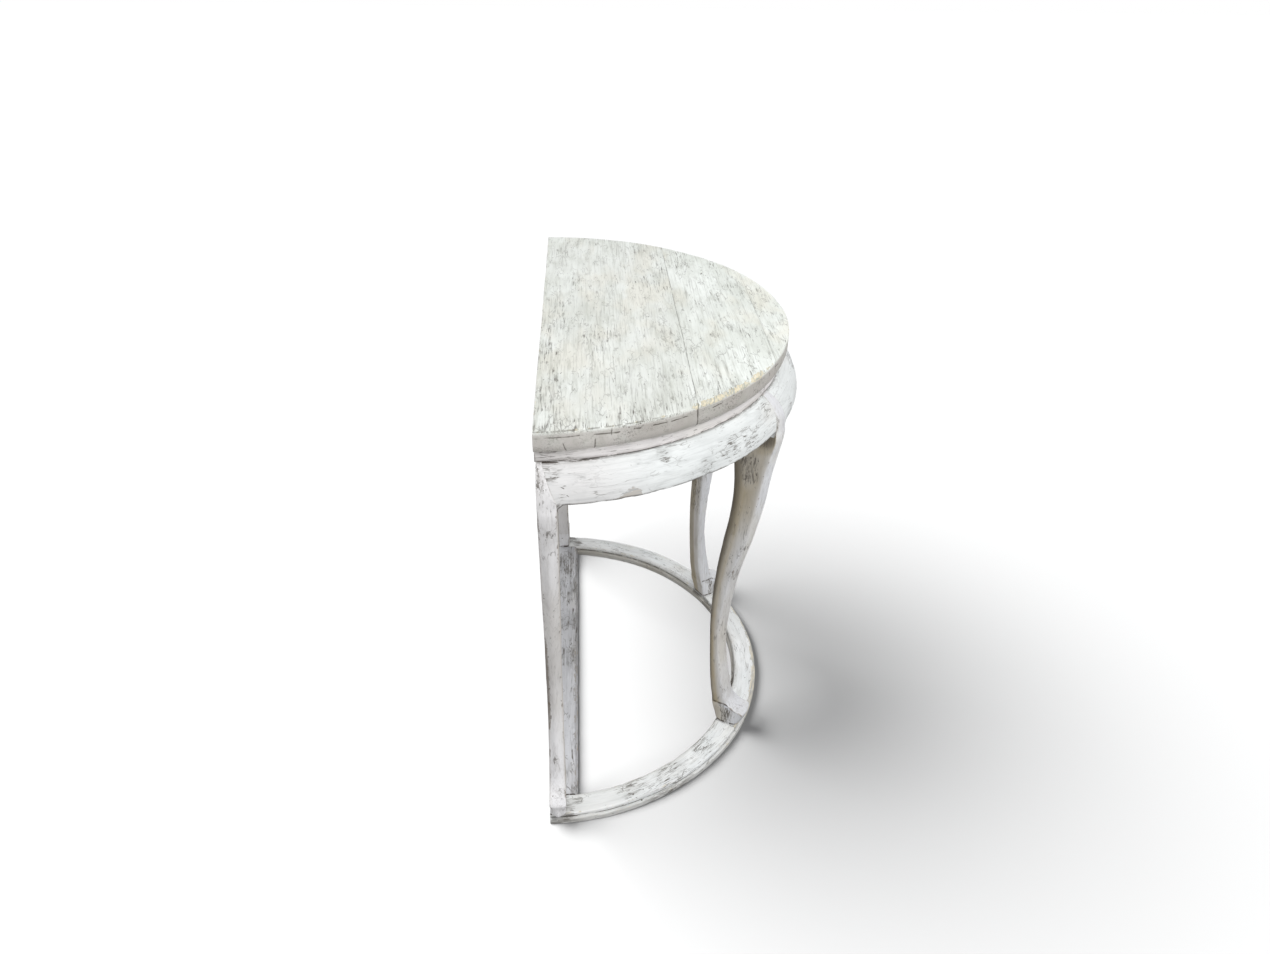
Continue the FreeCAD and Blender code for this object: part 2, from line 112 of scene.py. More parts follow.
# Leg outline: share of height, outer arris and inner face from the top's radius and crown in shares of the
# swing, front and back width shares
LEG_SWING = 50.0
LEG_ROWS = (
    (0.0000, -0.040, -0.870, 0.060, 0.990, 0.930), (0.0085, 0.080, -0.900, 0.060, 1.030, 0.945),
    (0.0197, 0.160, -0.946, 0.060, 1.040, 0.945), (0.0324, 0.220, -0.986, 0.060, 1.040, 0.945),
    (0.0437, 0.260, -1.020, 0.060, 1.040, 0.945), (0.0508, 0.260, -1.046, 0.060, 1.030, 0.945),
    (0.0543, 0.160, -1.056, 0.060, 1.020, 0.940), (0.0564, -0.040, -1.064, 0.060, 1.020, 0.940),
    (0.0606, -0.180, -1.080, 0.070, 1.010, 0.935), (0.0677, -0.320, -1.100, 0.090, 1.000, 0.930),
    (0.0790, -0.450, -1.130, 0.100, 0.965, 0.915), (0.0945, -0.550, -1.174, 0.110, 0.940, 0.905),
    (0.1157, -0.620, -1.232, 0.120, 0.920, 0.900), (0.1410, -0.690, -1.276, 0.130, 0.900, 0.890),
    (0.1693, -0.770, -1.316, 0.140, 0.885, 0.885), (0.2299, -0.920, -1.384, 0.140, 0.870, 0.880),
    (0.3004, -1.006, -1.432, 0.140, 0.870, 0.880), (0.3710, -0.970, -1.460, 0.140, 0.880, 0.880),
    (0.4410, -0.870, -1.440, 0.140, 0.890, 0.890), (0.5120, -0.740, -1.380, 0.140, 0.900, 0.900),
    (0.5750, -0.550, -1.300, 0.140, 0.910, 0.920), (0.6460, -0.310, -1.170, 0.140, 0.930, 0.935),
    (0.7160, -0.110, -1.020, 0.140, 0.950, 0.950), (0.7730, 0.030, -0.940, 0.140, 0.960, 0.960),
    (0.8290, 0.140, -0.920, 0.130, 0.970, 0.970), (0.8720, 0.230, -0.950, 0.120, 0.990, 0.975),
    (0.9140, 0.350, -0.990, 0.100, 1.000, 0.980), (0.9490, 0.460, -1.000, 0.070, 1.000, 0.985),
    (0.9700, 0.510, -1.000, 0.050, 1.000, 0.985), (0.9870, 0.500, -0.992, 0.030, 0.990, 0.985),
    (1.0000, 0.446, -0.984, 0.016, 0.970, 0.980),
)
# Upper edge of the shoe-like block of a foot, on its two sides: distance from the axis and height
TOE_LINE = ((390.0, 73.5), (408.0, 71.5), (424.0, 72.0), (434.0, 69.0), (443.0, 61.5))

# What a mesh point carries for the materials: distance to a worn arris in mm, joint grime that in places is
# painted shade, toning from light to dark that in places is painted light and shade, fleck spots and bald places
LAYERS = ("edge", "dirt", "tone", "spot", "bald")
FAR = 40.0
CHIP_REACH = 6.0


def clamp(value, low=0.0, high=1.0):
    return max(low, min(high, value))


def ease(low, high, value):
    """Smooth step from 0 at low to 1 at high; low may be the larger."""
    t = clamp((value - low) / (high - low))
    return t * t * (3.0 - 2.0 * t)


def at(r, angle, z):
    a = math.radians(angle)
    return Vector((r * math.cos(a), -r * math.sin(a), z))


def turned(u, v, z, angle):
    """Place at u outwards and v across from the axis, turned to an angle."""
    a = math.radians(angle)
    return Vector((u * math.cos(a) + v * math.sin(a), -u * math.sin(a) + v * math.cos(a), z))


# Meshes

class Shell:
    """Points with their grain place (mm along and across) and layers, and the faces between them."""

    def __init__(self):
        self.points, self.grain, self.faces, self.twins = [], [], [], []
        self.edge, self.dirt, self.tone, self.spot, self.bald = [], [], [], [], []

    def point(self, place, grain, edge, dirt, tone, spot=0.0, bald=0.0):
        self.points.append(Vector(place))
        self.grain.append(Vector(grain))
        for layer, value in zip(LAYERS, (edge, dirt, tone, spot, bald)):
            getattr(self, layer).append(value)
        return len(self.points) - 1

    def mark(self, values, place, reach, strength):
        """Raises values, such as spot or bald, around a place."""
        for i, point in enumerate(self.points):
            values[i] = max(values[i], strength * ease(reach, 0.35 * reach, (point - place).length))

    def soil_and_shade(self, amount):
        """Raises the grime layer, which in places is painted shade, to amount(radius, angle, height) at each
        point.
        """
        for i, (x, y, z) in enumerate(self.points):
            angle = math.degrees(math.atan2(-y, x))
            self.dirt[i] = max(self.dirt[i], amount(math.hypot(x, y), angle, z))

    def tube(self, rows):
        """Joins closed rows of points and caps both ends."""
        for a, b in zip(rows, rows[1:]):
            for j in range(len(a)):
                k = (j + 1) % len(a)
                self.faces.append((a[j], a[k], b[k], b[j]))
        self.cap(rows[0])
        self.cap(rows[-1])

    def cap(self, row):
        """Closes a row with points of its own, which follow the row's points when these move."""
        ring = [self.point(self.points[i], self.grain[i], max(12.0, self.edge[i]), self.dirt[i], self.tone[i])
                for i in row]
        self.faces.append(tuple(ring))
        self.twins += zip(ring, row)


def uneven(place):
    """Small hand-made waviness, the same field for all pieces so that joints stay closed."""
    slow = noise.noise_vector(place / 130.0)
    fast = noise.noise_vector(place / 31.0 + Vector((7.0, 3.0, 5.0)))
    return place + slow * 0.8 + fast * 0.3


def chip_depth(place, edge):
    """How deep a knock in a worn arris goes."""
    if edge > CHIP_REACH:
        return 0.0
    knock = noise.noise(place / 13.0 + Vector((11.0, 0.0, 4.0))) + 0.5 * noise.noise(place / 5.0)
    return 1.3 * ease(0.12, 0.6, knock) * (1.0 - edge / CHIP_REACH)


def add_object(name, data):
    made = bpy.data.objects.new(name, data)
    bpy.context.scene.collection.objects.link(made)
    return made


pieces = []


def piece(shell, node, material, mirror=False, sharp=38.0):
    """Makes the mesh object that stands for a CAD node."""
    side = -1.0 if mirror else 1.0
    mesh = bpy.data.meshes.new(node + "_finish")
    mesh.from_pydata([(p.x * side, p.y, p.z) for p in shell.points], [], shell.faces)
    work = bmesh.new()
    work.from_mesh(mesh)
    bmesh.ops.recalc_face_normals(work, faces=work.faces)
    work.normal_update()
    low, high = (Vector(corner) for corner in cad_box)
    for vert, edge in zip(work.verts, shell.edge):
        moved = uneven(vert.co) - vert.normal * chip_depth(vert.co, edge)
        spot = (moved + Vector((0.0, BACK_Y, 0.0))) * MM
        vert.co = [clamp(c, a, b) for c, a, b in zip(spot, low, high)]
    work.verts.ensure_lookup_table()
    for copy, origin in shell.twins:
        work.verts[copy].co = work.verts[origin].co
    work.to_mesh(mesh)
    work.free()
    grain = mesh.attributes.new("grain", "FLOAT_VECTOR", "POINT")
    grain.data.foreach_set("vector", [c * MM for g in shell.grain for c in g])
    for layer in LAYERS:
        values = mesh.attributes.new(layer, "FLOAT", "POINT")
        values.data.foreach_set("value", getattr(shell, layer))
    mesh.shade_smooth()
    mesh.set_sharp_from_angle(angle=math.radians(sharp))
    mesh.materials.append(material)
    made = add_object(node + "_finish", mesh)
    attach(made, "root")
    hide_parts(node)
    pieces.append(made)


def rounded(corners, gap=6.0):
    """Closed outline through (x, y, radius, kind) corners, where kind is arris, groove or plain.
    Returns (x, y, distance to an arris, distance to a groove) points."""
    points, marks = [], {"arris": [], "groove": [], "plain": []}
    for i, (x, y, radius, kind) in enumerate(corners):
        here = complex(x, y)
        if radius <= 0.0:
            points.append(here)
            marks[kind].append(here)
            continue
        back = complex(*corners[i - 1][:2]) - here
        ahead = complex(*corners[(i + 1) % len(corners)][:2]) - here
        back, ahead = back / abs(back), ahead / abs(ahead)
        half = abs(cmath.phase(ahead / back)) / 2.0
        middle = here + (back + ahead) / abs(back + ahead) * radius / math.sin(half)
        start = here + back * radius / math.tan(half) - middle
        end = here + ahead * radius / math.tan(half) - middle
        turn = cmath.phase(end / start)
        steps = max(2, round(abs(turn) / math.radians(24.0)))
        points += [middle + start * cmath.exp(1j * turn * k / steps) for k in range(steps + 1)]
        marks[kind].append(middle + start * cmath.exp(0.5j * turn))
    dense = []
    for a, b in zip(points, points[1:] + points[:1]):
        length = abs(b - a)
        dense.append(a)
        if length > 3.0:
            inner = max(1, round((length - 2.0) / gap))
            dense += [a + (b - a) / length * (1.0 + (length - 2.0) * k / inner) for k in range(inner + 1)]

    def nearest(p, kind):
        return min([abs(p - m) for m in marks[kind]] + [FAR])

    return [(p.real, p.imag, nearest(p, "arris"), nearest(p, "groove")) for p in dense]


def stations(length, step):
    """Distances along a swept piece, close together at its ends."""
    ends, first = [0.0, 0.4, 1.1, 2.4], 4.8
    inner = length - 2.0 * first
    count = max(2, round(inner / step))
    return ends + [first + inner * k / count for k in range(count + 1)] + [length - d for d in reversed(ends)]


def no_tone(a, b, s):
    return 0.0


def swept(shell, outline, length, place, grain, ends=(1.0, 1.0), tone=no_tone, joint_dirt=(0.0, 0.0), step=5.0):
    """Sweeps an outline along a piece. place(j, a, b, s) puts outline point j at distance s."""
    centre_a, centre_b = (sum(p[i] for p in outline) / len(outline) for i in (0, 1))
    rows = []
    for s in stations(length, step):
        gaps = s, length - s
        inset = 0.0
        for gap, radius in zip(gaps, ends):
            if gap < radius:
                inset = max(inset, radius - math.sqrt(radius ** 2 - (radius - gap) ** 2))
        joint = max(dirt * ease(2.5, 0.3, gap) for gap, dirt in zip(gaps, joint_dirt))
        row = []
        for j, (a, b, arris, groove) in enumerate(outline):
            off_a, off_b = centre_a - a, centre_b - b
            size = math.hypot(off_a, off_b)
            spot = place(j, a + off_a / size * inset, b + off_b / size * inset, s)
            dirt = max(joint, ease(2.6, 0.6, groove))
            row.append(shell.point(spot, grain(a, b, s), arris, dirt, tone(a, b, s)))
        rows.append(row)
    shell.tube(rows)


def ring_piece(shell, outline, span, radius, offset, ends, tone, joint_dirt, dip=None):
    """Turns an outline of (r, z) points about the upright axis. span(r, z) gives a point's first and last
    angle, and dip(z, s, length) lowers it."""
    spans = [span(a, b) for a, b, _, _ in outline]
    length = math.radians(sum(end - start for start, end in spans) / len(spans)) * radius

    def place(j, a, b, s):
        start, end = spans[j]
        z = b - dip(b, s, length) if dip else b
        return at(a, start + (end - start) * s / length, z)

    swept(shell, outline, length, place, lambda a, b, s: (s + offset, a, b), ends, tone, joint_dirt)


def same_span(start, end):
    return lambda r, z: (start, end)


def back_board(node, depth, low, high, radius, offset, tone, material):
    """Straight board along the back, between the posts of the back legs."""
    y0, y1 = -BACK_SETBACK - depth, -BACK_SETBACK
    outline = rounded([(y, z, radius, "arris") for y, z in ((y0, low), (y1, low), (y1, high), (y0, high))])
    shell = Shell()
    swept(shell, outline, 2.0 * POST_INNER, lambda j, a, b, s: Vector((s - POST_INNER, a, b)),
          lambda a, b, s: (s + offset, a, b), tone=lambda a, b, s: tone, joint_dirt=(1.0, 1.0), step=9.0)
    piece(shell, node, material)


# Materials

def srgb(r, g, b):
    levels = [c / 255.0 for c in (r, g, b)]
    return [c / 12.92 if c <= 0.04045 else ((c + 0.055) / 1.055) ** 2.4 for c in levels] + [1.0]


class Web:
    """Short names for the nodes of one material that follows the grain place of its mesh."""

    def __init__(self, name):
        self.material = bpy.data.materials.new(name)
        self.material.use_nodes = True
        self.tree = self.material.node_tree
        self.grain = self.attribute("grain", "Vector")

    def feed(self, socket, value):
        if isinstance(value, bpy.types.NodeSocket):
            self.tree.links.new(value, socket)
        else:
            socket.default_value = value

    def node(self, kind, **inputs):
        made = self.tree.nodes.new(kind)
        for key, value in inputs.items():
            self.feed(made.inputs[key], value)
        return made

    def attribute(self, name, output="Fac"):
        made = self.tree.nodes.new("ShaderNodeAttribute")
        made.attribute_name = name
        return made.outputs[output]

    def operate(self, kind, operation, *values):
        made = self.tree.nodes.new(kind)
        made.operation = operation
        for socket, value in zip(made.inputs, values):
            self.feed(socket, value)
        return made.outputs

    def maths(self, operation, *values):
        return self.operate("ShaderNodeMath", operation, *values)[0]

    def plus(self, a, b):
        return self.maths("ADD", a, b)

    def minus(self, a, b):
        return self.maths("SUBTRACT", a, b)

    def times(self, a, b):
        return self.maths("MULTIPLY", a, b)

    def most(self, a, b):
        return self.maths("MAXIMUM", a, b)

    def stretch(self, vector, scale, offset):
        return self.operate("ShaderNodeVectorMath", "MULTIPLY_ADD", vector, scale, offset)[0]

    def plane(self, normal, offset):
        """Distance of a grain place from a plane."""
        along = self.operate("ShaderNodeVectorMath", "DOT_PRODUCT", self.grain, normal)["Value"]
        return self.maths("ABSOLUTE", self.plus(along, offset))

    def noise(self, scale, offset, detail=4.0, rough=0.6, warp=0.0):
        place = self.stretch(self.grain, scale, (offset, offset * 1.7, offset * 0.6))
        return self.node("ShaderNodeTexNoise", Vector=place, Scale=1.0, Detail=detail, Roughness=rough,
                         Distortion=warp).outputs["Fac"]

    def drawn(self, along, across, *rest):
        """Noise drawn out along the grain."""
        return self.noise((along, across, across), *rest)

    def step(self, value, low, high, to_low=0.0, to_high=1.0):
        made = self.node("ShaderNodeMapRange", Value=value)
        made.interpolation_type = "SMOOTHSTEP"
        if low > high:
            low, high, to_low, to_high = high, low, to_high, to_low
        for key, number in zip(("From Min", "From Max", "To Min", "To Max"), (low, high, to_low, to_high)):
            made.inputs[key].default_value = number
        return made.outputs["Result"]

    def mix(self, factor, a, b):
        made = self.tree.nodes.new("ShaderNodeMix")
        made.data_type = "RGBA"
        self.feed(made.inputs["Factor"], factor)
        colours = [s for s in made.inputs if s.type == "RGBA"]
        self.feed(colours[0], a)
        self.feed(colours[1], b)
        return [s for s in made.outputs if s.type == "RGBA"][0]

    def crackle(self, scale, width):
        """Thin lines of broken paint, as a share of darkness."""
        bend = self.node("ShaderNodeTexNoise", Vector=self.grain, Scale=34.0, Detail=3.0).outputs["Color"]
        place = self.stretch(bend, (1.5, 1.5, 1.5), self.stretch(self.grain, scale, (0.0, 0.0, 0.0)))
        cells = self.node("ShaderNodeTexVoronoi", Vector=place, Scale=1.0)
        cells.feature = "DISTANCE_TO_EDGE"
        return self.step(cells.outputs["Distance"], width, 0.3 * width)

    def finish(self, colour, roughness, height, depth, specular):
        """Feeds the material's shader, with a bump of the given depth in metres."""
        bump = self.node("ShaderNodeBump", Height=height, Strength=0.5, Distance=depth)
        shader = self.tree.nodes["Principled BSDF"]
        self.feed(shader.inputs["Base Color"], colour)
        self.feed(shader.inputs["Roughness"], roughness)
        self.feed(shader.inputs["Normal"], bump.outputs["Normal"])
        self.feed(shader.inputs["Specular IOR Level"], specular)
        return self.material


# Upright cracks in the edge of the top: angle, lean, and lowest and highest point in metres
SLAB_CRACKS = (
    (174.0, 0.3, 0.806, 0.826), (168.2, -0.05, 0.806, 0.829), (165.2, 0.12, 0.828, 0.846),
    (146.6, 0.05, 0.806, 0.846), (9.0, 0.2, 0.806, 0.83), (17.5, -0.15, 0.82, 0.846), (62.0, 0.1, 0.806, 0.83),
)
# Lengthwise split in that edge: its height and the distance along the top where it always shows, in metres
SPLIT_LEVEL = 0.832
SPLIT_END = 0.418


def slab_cracks(web):
    """The split and the upright cracks in the edge of the top, as a share of darkness."""
    wander = web.noise((25.0, 25.0, 70.0), 21.4, 3.0)
    drift = web.minus(web.times(wander, 0.007), SPLIT_LEVEL + 0.0035)
    gap = web.step(web.plane((0.003, 0.003, 1.0), drift), 0.0014, 0.0004)
    where = web.most(web.step(web.noise((13.0, 13.0, 13.0), 3.6, 3.0), 0.52, 0.58),
                     web.step(web.plane((1.0, 0.0, 0.0), SPLIT_END), 0.03, 0.022))
    broken = web.step(web.noise((55.0, 55.0, 9.0), 19.7, 3.0), 0.42, 0.52)
    lines = web.times(web.times(gap, where), broken)
    off_middle = web.step(web.plane((1.0, 0.0, 0.0), 0.0), 0.1, 0.14)
    for angle, lean, low, high in SLAB_CRACKS:
        turn, middle, half = math.radians(angle), 0.5 * (low + high), 0.5 * (high - low)
        drift = web.minus(web.times(wander, 0.009), 0.0045 + middle * lean)
        gap = web.step(web.plane((math.sin(turn), math.cos(turn), lean), drift), 0.0012, 0.0005)
        height = web.step(web.plane((0.0, 0.0, 1.0), -middle), half, half - 0.004)
        lines = web.most(lines, web.times(web.times(gap, off_middle), height))
    return lines


# Marks, grime that in places is painted shade, and painted deep shade of all paints, and how far wear reaches
# from an arris in mm
DARK, GRIME_AND_SHADE, DEEP_SHADE = srgb(104, 99, 92), srgb(74, 65, 56), srgb(92, 84, 68)
WEAR_REACH = 24.0


def old_paint(name, light, dim, tone_and_shade_colour, thin, wood, warm, streak=0.3, smudge=0.4, fleck_from=0.56,
              crowd_from=0.53, check=0.5, wear_from=0.5, hair=0.2, stroke=(40.0, 380.0), fleck=0.95,
              crackled=0.0, cracked=False):
    """Brushed white paint over open-grained wood: streaks along the grain, grey smudges, crowds of dark flecks
    where the grain shows, chips, drying checks, knocked arrises down to wood, and grime in the joints, which in
    places is painted shade. The colours are the paint's two whites, its darker tint, which also serves as
    painted shade, where it is thin, the bare wood and the yellowed white; above a toning of 1 painted deep shade
    goes in."""
    web = Web(name)
    light, dim, tone_and_shade_colour, thin, wood, warm = (srgb(*tint) for tint in (light, dim, tone_and_shade_colour, thin, wood, warm))
    edge, dirt, tone, spot, bald = (web.attribute(layer) for layer in LAYERS)
    shade = web.maths("MINIMUM", tone, 1.0)

    colour = web.mix(web.step(web.drawn(7.0, 16.0, 3.1, 5.0), 0.35, 0.65), light, dim)
    yellowed = web.step(web.drawn(4.0, 9.0, 11.3, 3.0), 0.5, 0.66)
    colour = web.mix(web.times(yellowed, 0.45), colour, warm)
    patchy = web.step(web.drawn(9.0, 21.0, 8.4), 0.3, 0.62, 0.72, 1.0)
    # Darker tint: the paint's own toning, and painted shade where the toning layer is raised for shade; above 1
    # it turns to painted deep shade.
    colour = web.mix(web.times(shade, patchy), colour, tone_and_shade_colour)
    colour = web.mix(web.step(tone, 1.0, 2.0, 0.0, 0.9), colour, DEEP_SHADE)

    brush = web.drawn(12.0, 300.0, 1.3, 5.0, 0.65)
    brushed = web.times(web.step(brush, 0.46, 0.66), web.step(web.drawn(5.0, 11.0, 18.9), 0.4, 0.6, 0.3, 1.0))
    colour = web.mix(web.times(brushed, streak), colour, thin)
    cloud = web.step(web.drawn(9.0, 26.0, 15.8, 5.0, 0.6), 0.47, 0.68)
    colour = web.mix(web.times(cloud, 0.6 * smudge), colour, thin)
    rubbed = web.plus(web.drawn(16.0, 66.0, 2.2, 6.0, 0.68, 0.5), web.times(spot, 0.07))
    rubbed = web.step(rubbed, 0.49, 0.68)
    colour = web.mix(web.times(rubbed, smudge), colour, thin)

    crowd = web.plus(web.drawn(10.0, 21.0, 6.6, 5.0, 0.62), web.times(spot, 0.22))
    crowd = web.step(crowd, crowd_from, crowd_from + 0.1)
    strokes = web.plus(web.drawn(*stroke, 9.1, 4.0, 0.64, 0.4), web.times(spot, 0.045))
    depth = web.step(web.drawn(40.0, 110.0, 1.9), 0.36, 0.66, 0.25, fleck)
    flecks = web.times(web.times(web.step(strokes, fleck_from, fleck_from + 0.08), crowd), depth)
    faint = web.step(web.drawn(0.6 * stroke[0], 1.1 * stroke[1], 14.2, 4.0), 0.54, 0.68)
    faint = web.times(web.times(faint, hair), web.step(web.drawn(6.0, 13.0, 23.5), 0.4, 0.58, 0.35, 1.0))
    chips = web.plus(web.drawn(70.0, 150.0, 12.7, 4.0, 0.55, 0.3), web.times(spot, 0.045))
    chips = web.step(chips, 0.705, 0.73, 0.0, 0.9)
    ridge = web.maths("ABSOLUTE", web.minus(web.drawn(7.0, 62.0, 4.7, 3.0, 0.5), 0.5))
    checks = web.times(web.step(ridge, 0.011, 0.004), check)
    checks = web.times(checks, web.step(web.drawn(15.0, 40.0, 7.2), 0.5, 0.6))
    marks = web.most(web.most(flecks, faint), web.most(checks, chips))
    if crackled:
        some = web.plus(web.drawn(26.0, 60.0, 13.3, 4.0), web.times(spot, 0.05))
        lines = web.times(web.crackle((44.0, 120.0, 120.0), 0.07), web.step(some, 0.55, 0.6))
        lines = web.times(lines, web.minus(1.0, shade))
        marks = web.most(marks, web.times(lines, web.plus(web.times(spot, 0.3), crackled)))
    if cracked:
        marks = web.most(marks, web.times(web.times(slab_cracks(web), tone), 0.8))
    colour = web.mix(marks, colour, DARK)

    scuff = web.step(web.drawn(50.0, 120.0, 16.2, 5.0, 0.68), 0.36, 0.6, 0.16, 0.6)
    knock = web.plus(web.drawn(48.0, 75.0, 7.7, 5.0, 0.65), web.times(bald, scuff))
    left = web.minus(web.plus(web.times(edge, 1.0 / WEAR_REACH), wear_from), knock)
    worn = web.step(left, 0.04, -0.05)
    bare = web.mix(web.step(web.drawn(30.0, 260.0, 0.4), 0.4, 0.62), wood, thin)
    colour = web.mix(web.times(worn, 0.85), colour, bare)
    # Grime in joints and grooves, and painted contact shade where the grime layer is raised for shade.
    soiled_and_shaded = web.times(dirt, web.step(web.drawn(30.0, 90.0, 5.9, 5.0, 0.7), 0.42, 0.52))
    colour = web.mix(soiled_and_shaded, colour, GRIME_AND_SHADE)

    height = web.minus(web.times(brush, 0.35), web.times(marks, 0.9))
    height = web.minus(web.minus(height, web.times(worn, 0.7)), web.times(rubbed, 0.2))
    return web.finish(colour, web.step(web.plus(rubbed, worn), 0.0, 1.0, 0.58, 0.8), height, 0.0007, 0.3)


def bare_timber(name):
    """Unpainted old softwood with growth rings drawn out along the batten."""
    web = Web(name)
    rings = web.drawn(3.0, 130.0, 1.9, 5.0, 0.6, 0.4)
    colour = web.mix(web.step(rings, 0.36, 0.66), srgb(176, 146, 108), srgb(128, 98, 68))
    pores = web.step(web.drawn(36.0, 620.0, 4.2, 3.0), 0.58, 0.66)
    colour = web.mix(web.times(pores, 0.6), colour, srgb(84, 62, 44))
    stain = web.step(web.drawn(7.0, 18.0, 6.3), 0.48, 0.66)
    colour = web.mix(web.times(stain, 0.45), colour, srgb(112, 94, 76))
    rub = web.minus(web.times(web.attribute("edge"), 0.05), web.drawn(50.0, 90.0, 2.5))
    colour = web.mix(web.times(web.step(rub, -0.4, -0.5), 0.6), colour, srgb(196, 170, 132))
    height = web.minus(web.times(rings, 0.5), web.times(pores, 0.6))
    return web.finish(colour, web.step(rings, 0.3, 0.7, 0.62, 0.8), height, 0.0006, 0.5)


LAVENDER = (226, 221, 220)
GREY = (180, 179, 174)
TAUPE = (178, 166, 141)
CREAM = (235, 231, 220)
LEG_STROKE = (75.0, 300.0)
top_paint = old_paint("top_paint", (248, 252, 247), (232, 236, 229), (203, 198, 193), (172, 174, 162),
                      (230, 217, 186), (236, 231, 214), streak=0.32, smudge=0.3, fleck_from=0.53,
                      crowd_from=0.505, wear_from=0.56, hair=0.36, stroke=(24.0, 340.0), fleck=0.9,
                      crackled=0.42, cracked=True)
waist_paint = old_paint("waist_paint", (252, 249, 247), (243, 239, 238), LAVENDER, GREY, (150, 134, 116), CREAM,
                        smudge=0.2, fleck_from=0.57, crowd_from=0.55)
apron_paint = old_paint("apron_paint", (236, 239, 238), (226, 229, 228), LAVENDER, (172, 174, 173),
                        (194, 187, 178), (230, 227, 222), streak=0.2, smudge=0.3, fleck_from=0.55,
                        crowd_from=0.57, hair=0.12, stroke=(52.0, 430.0), crackled=0.3)
leg_paint = old_paint("leg_paint", (237, 239, 243), (225, 226, 230), TAUPE, (164, 158, 148), (132, 118, 102),
                      CREAM, streak=0.26, smudge=0.25, crowd_from=0.56, stroke=LEG_STROKE)
back_leg_paint = old_paint("back_leg_paint", (245, 244, 245), (234, 233, 234), (178, 169, 152), (170, 165, 160),
                           (126, 114, 102), (233, 231, 229), streak=0.22, smudge=0.25, crowd_from=0.56,
                           stroke=LEG_STROKE)
stretcher_paint = old_paint("stretcher_paint", (249, 250, 249), (237, 240, 240), (184, 180, 171), GREY,
                            (220, 211, 190), CREAM, streak=0.26, smudge=0.32, fleck_from=0.555, wear_from=0.57,
                            crackled=0.35)
rail_paint = old_paint("rail_paint", (230, 231, 235), (217, 218, 222), (170, 168, 166), (158, 158, 160),
                       (170, 160, 146), (212, 208, 202), fleck_from=0.535, check=0.9, stroke=(15.0, 230.0),
                       crackled=0.9)
batten_timber = bare_timber("batten_timber")

# Top

# Section of the top's edge from the underside up: distance from the axis and height
TOP_RIM = [(441.0, 807.0), (442.2, 807.05), (444.6, 808.6), (447.2, 811.6), (448.9, 815.2), (449.8, 819.0),
           (450.0, 823.0), (450.0, 828.0), (450.0, 833.0), (450.0, 837.5), (450.0, 840.8), (449.7, 842.3),
           (448.8, 843.8), (447.4, 844.7), (445.8, 845.0), (443.0, 845.0), (438.0, 845.0), (430.0, 845.0)]
TOP_RINGS = [418.0, 400.0, 375.0, 345.0, 310.0, 270.0, 230.0, 190.0, 150.0, 110.0, 70.0, 30.0]
SEAM_GAP = 0.1
SLOT_ROOM = 0.15


def top_shape():
    """Half disc with rounded upper arris and undercut lower edge, as a bmesh in millimetres."""
    profile = [(r, TOP_UNDER) for r in reversed(TOP_RINGS)] + TOP_RIM + [(r, TABLE_HEIGHT) for r in TOP_RINGS]
    shape = bmesh.new()
    first, last, steps = -8.0, 188.0, 280
    rows = []
    for i in range(steps + 1):
        angle = first + (last - first) * i / steps
        rows.append([shape.verts.new(at(r, angle, z)) for r, z in profile])
    low, high = (shape.verts.new((0.0, 0.0, z)) for z in (TOP_UNDER, TABLE_HEIGHT))
    for a, b in zip(rows, rows[1:]):
        for j in range(len(profile) - 1):
            shape.faces.new((a[j], a[j + 1], b[j + 1], b[j]))
        shape.faces.new((low, a[0], b[0]))
        shape.faces.new((high, b[-1], a[-1]))
    return shape


def divide(shape, y, **clear):
    """Divides all faces across at y."""
    bmesh.ops.bisect_plane(shape, geom=shape.verts[:] + shape.edges[:] + shape.faces[:], dist=1e-4,
                           plane_co=(0.0, y, 0.0), plane_no=(0.0, 1.0, 0.0), **clear)


def cut_flat(shape, y, keep_front, radius, segments):
    """Cuts across at y, closes the cut and rounds its arrises."""
    divide(shape, y, clear_outer=keep_front, clear_inner=not keep_front)
    open_edges = [e for e in shape.edges if e.is_boundary and all(abs(v.co.y - y) < 1e-3 for v in e.verts)]
    made = bmesh.ops.edgeloop_fill(shape, edges=open_edges)["faces"]
    rim = list({e for f in made for e in f.edges})
    bmesh.ops.bevel(shape, geom=rim, offset=radius, offset_type="OFFSET", segments=segments, profile=0.5,
                    affect="EDGES", clamp_overlap=True)


def dovetail(low, room):
    """Section of a batten's head about its middle, from a level up, as (x, z) points."""
    lean = (BATTEN_HEAD_HALF - BATTEN_NECK_HALF) / BATTEN_HEAD_HEIGHT
    foot = BATTEN_NECK_HALF + (low - TOP_UNDER) * lean + room
    head, top = BATTEN_HEAD_HALF + room, TOP_UNDER + BATTEN_HEAD_HEIGHT + room
    return [(-foot, low), (foot, low), (head, top), (-head, top)]


def cut_slots(shape):
    """Cuts the dovetail slots of the two battens into the underside."""
    cutter = bmesh.new()
    for x in (BATTEN_X, -BATTEN_X):
        ends = [[cutter.verts.new((x + a, y, z)) for a, z in dovetail(TOP_UNDER - 2.0, SLOT_ROOM)]
                for y in (4.0, -BATTEN_HEAD_LENGTH - SLOT_ROOM)]
        cutter.faces.new(ends[0])
        cutter.faces.new(reversed(ends[1]))
        for j in range(4):
            cutter.faces.new((ends[0][j], ends[1][j], ends[1][j - 3], ends[0][j - 3]))
    made = []
    for name, source in (("blank", shape), ("slots", cutter)):
        bmesh.ops.recalc_face_normals(source, faces=source.faces)
        mesh = bpy.data.meshes.new(name)
        source.to_mesh(mesh)
        made.append(add_object(name, mesh))
    cutter.free()
    cut = made[0].modifiers.new("slots", "BOOLEAN")
    cut.operation, cut.solver, cut.object = "DIFFERENCE", "EXACT", made[1]
    result = bpy.data.meshes.new_from_object(made[0].evaluated_get(bpy.context.evaluated_depsgraph_get()))
    shape.clear()
    shape.from_mesh(result)
    for mesh in [result] + [o.data for o in made]:
        bpy.data.meshes.remove(mesh)


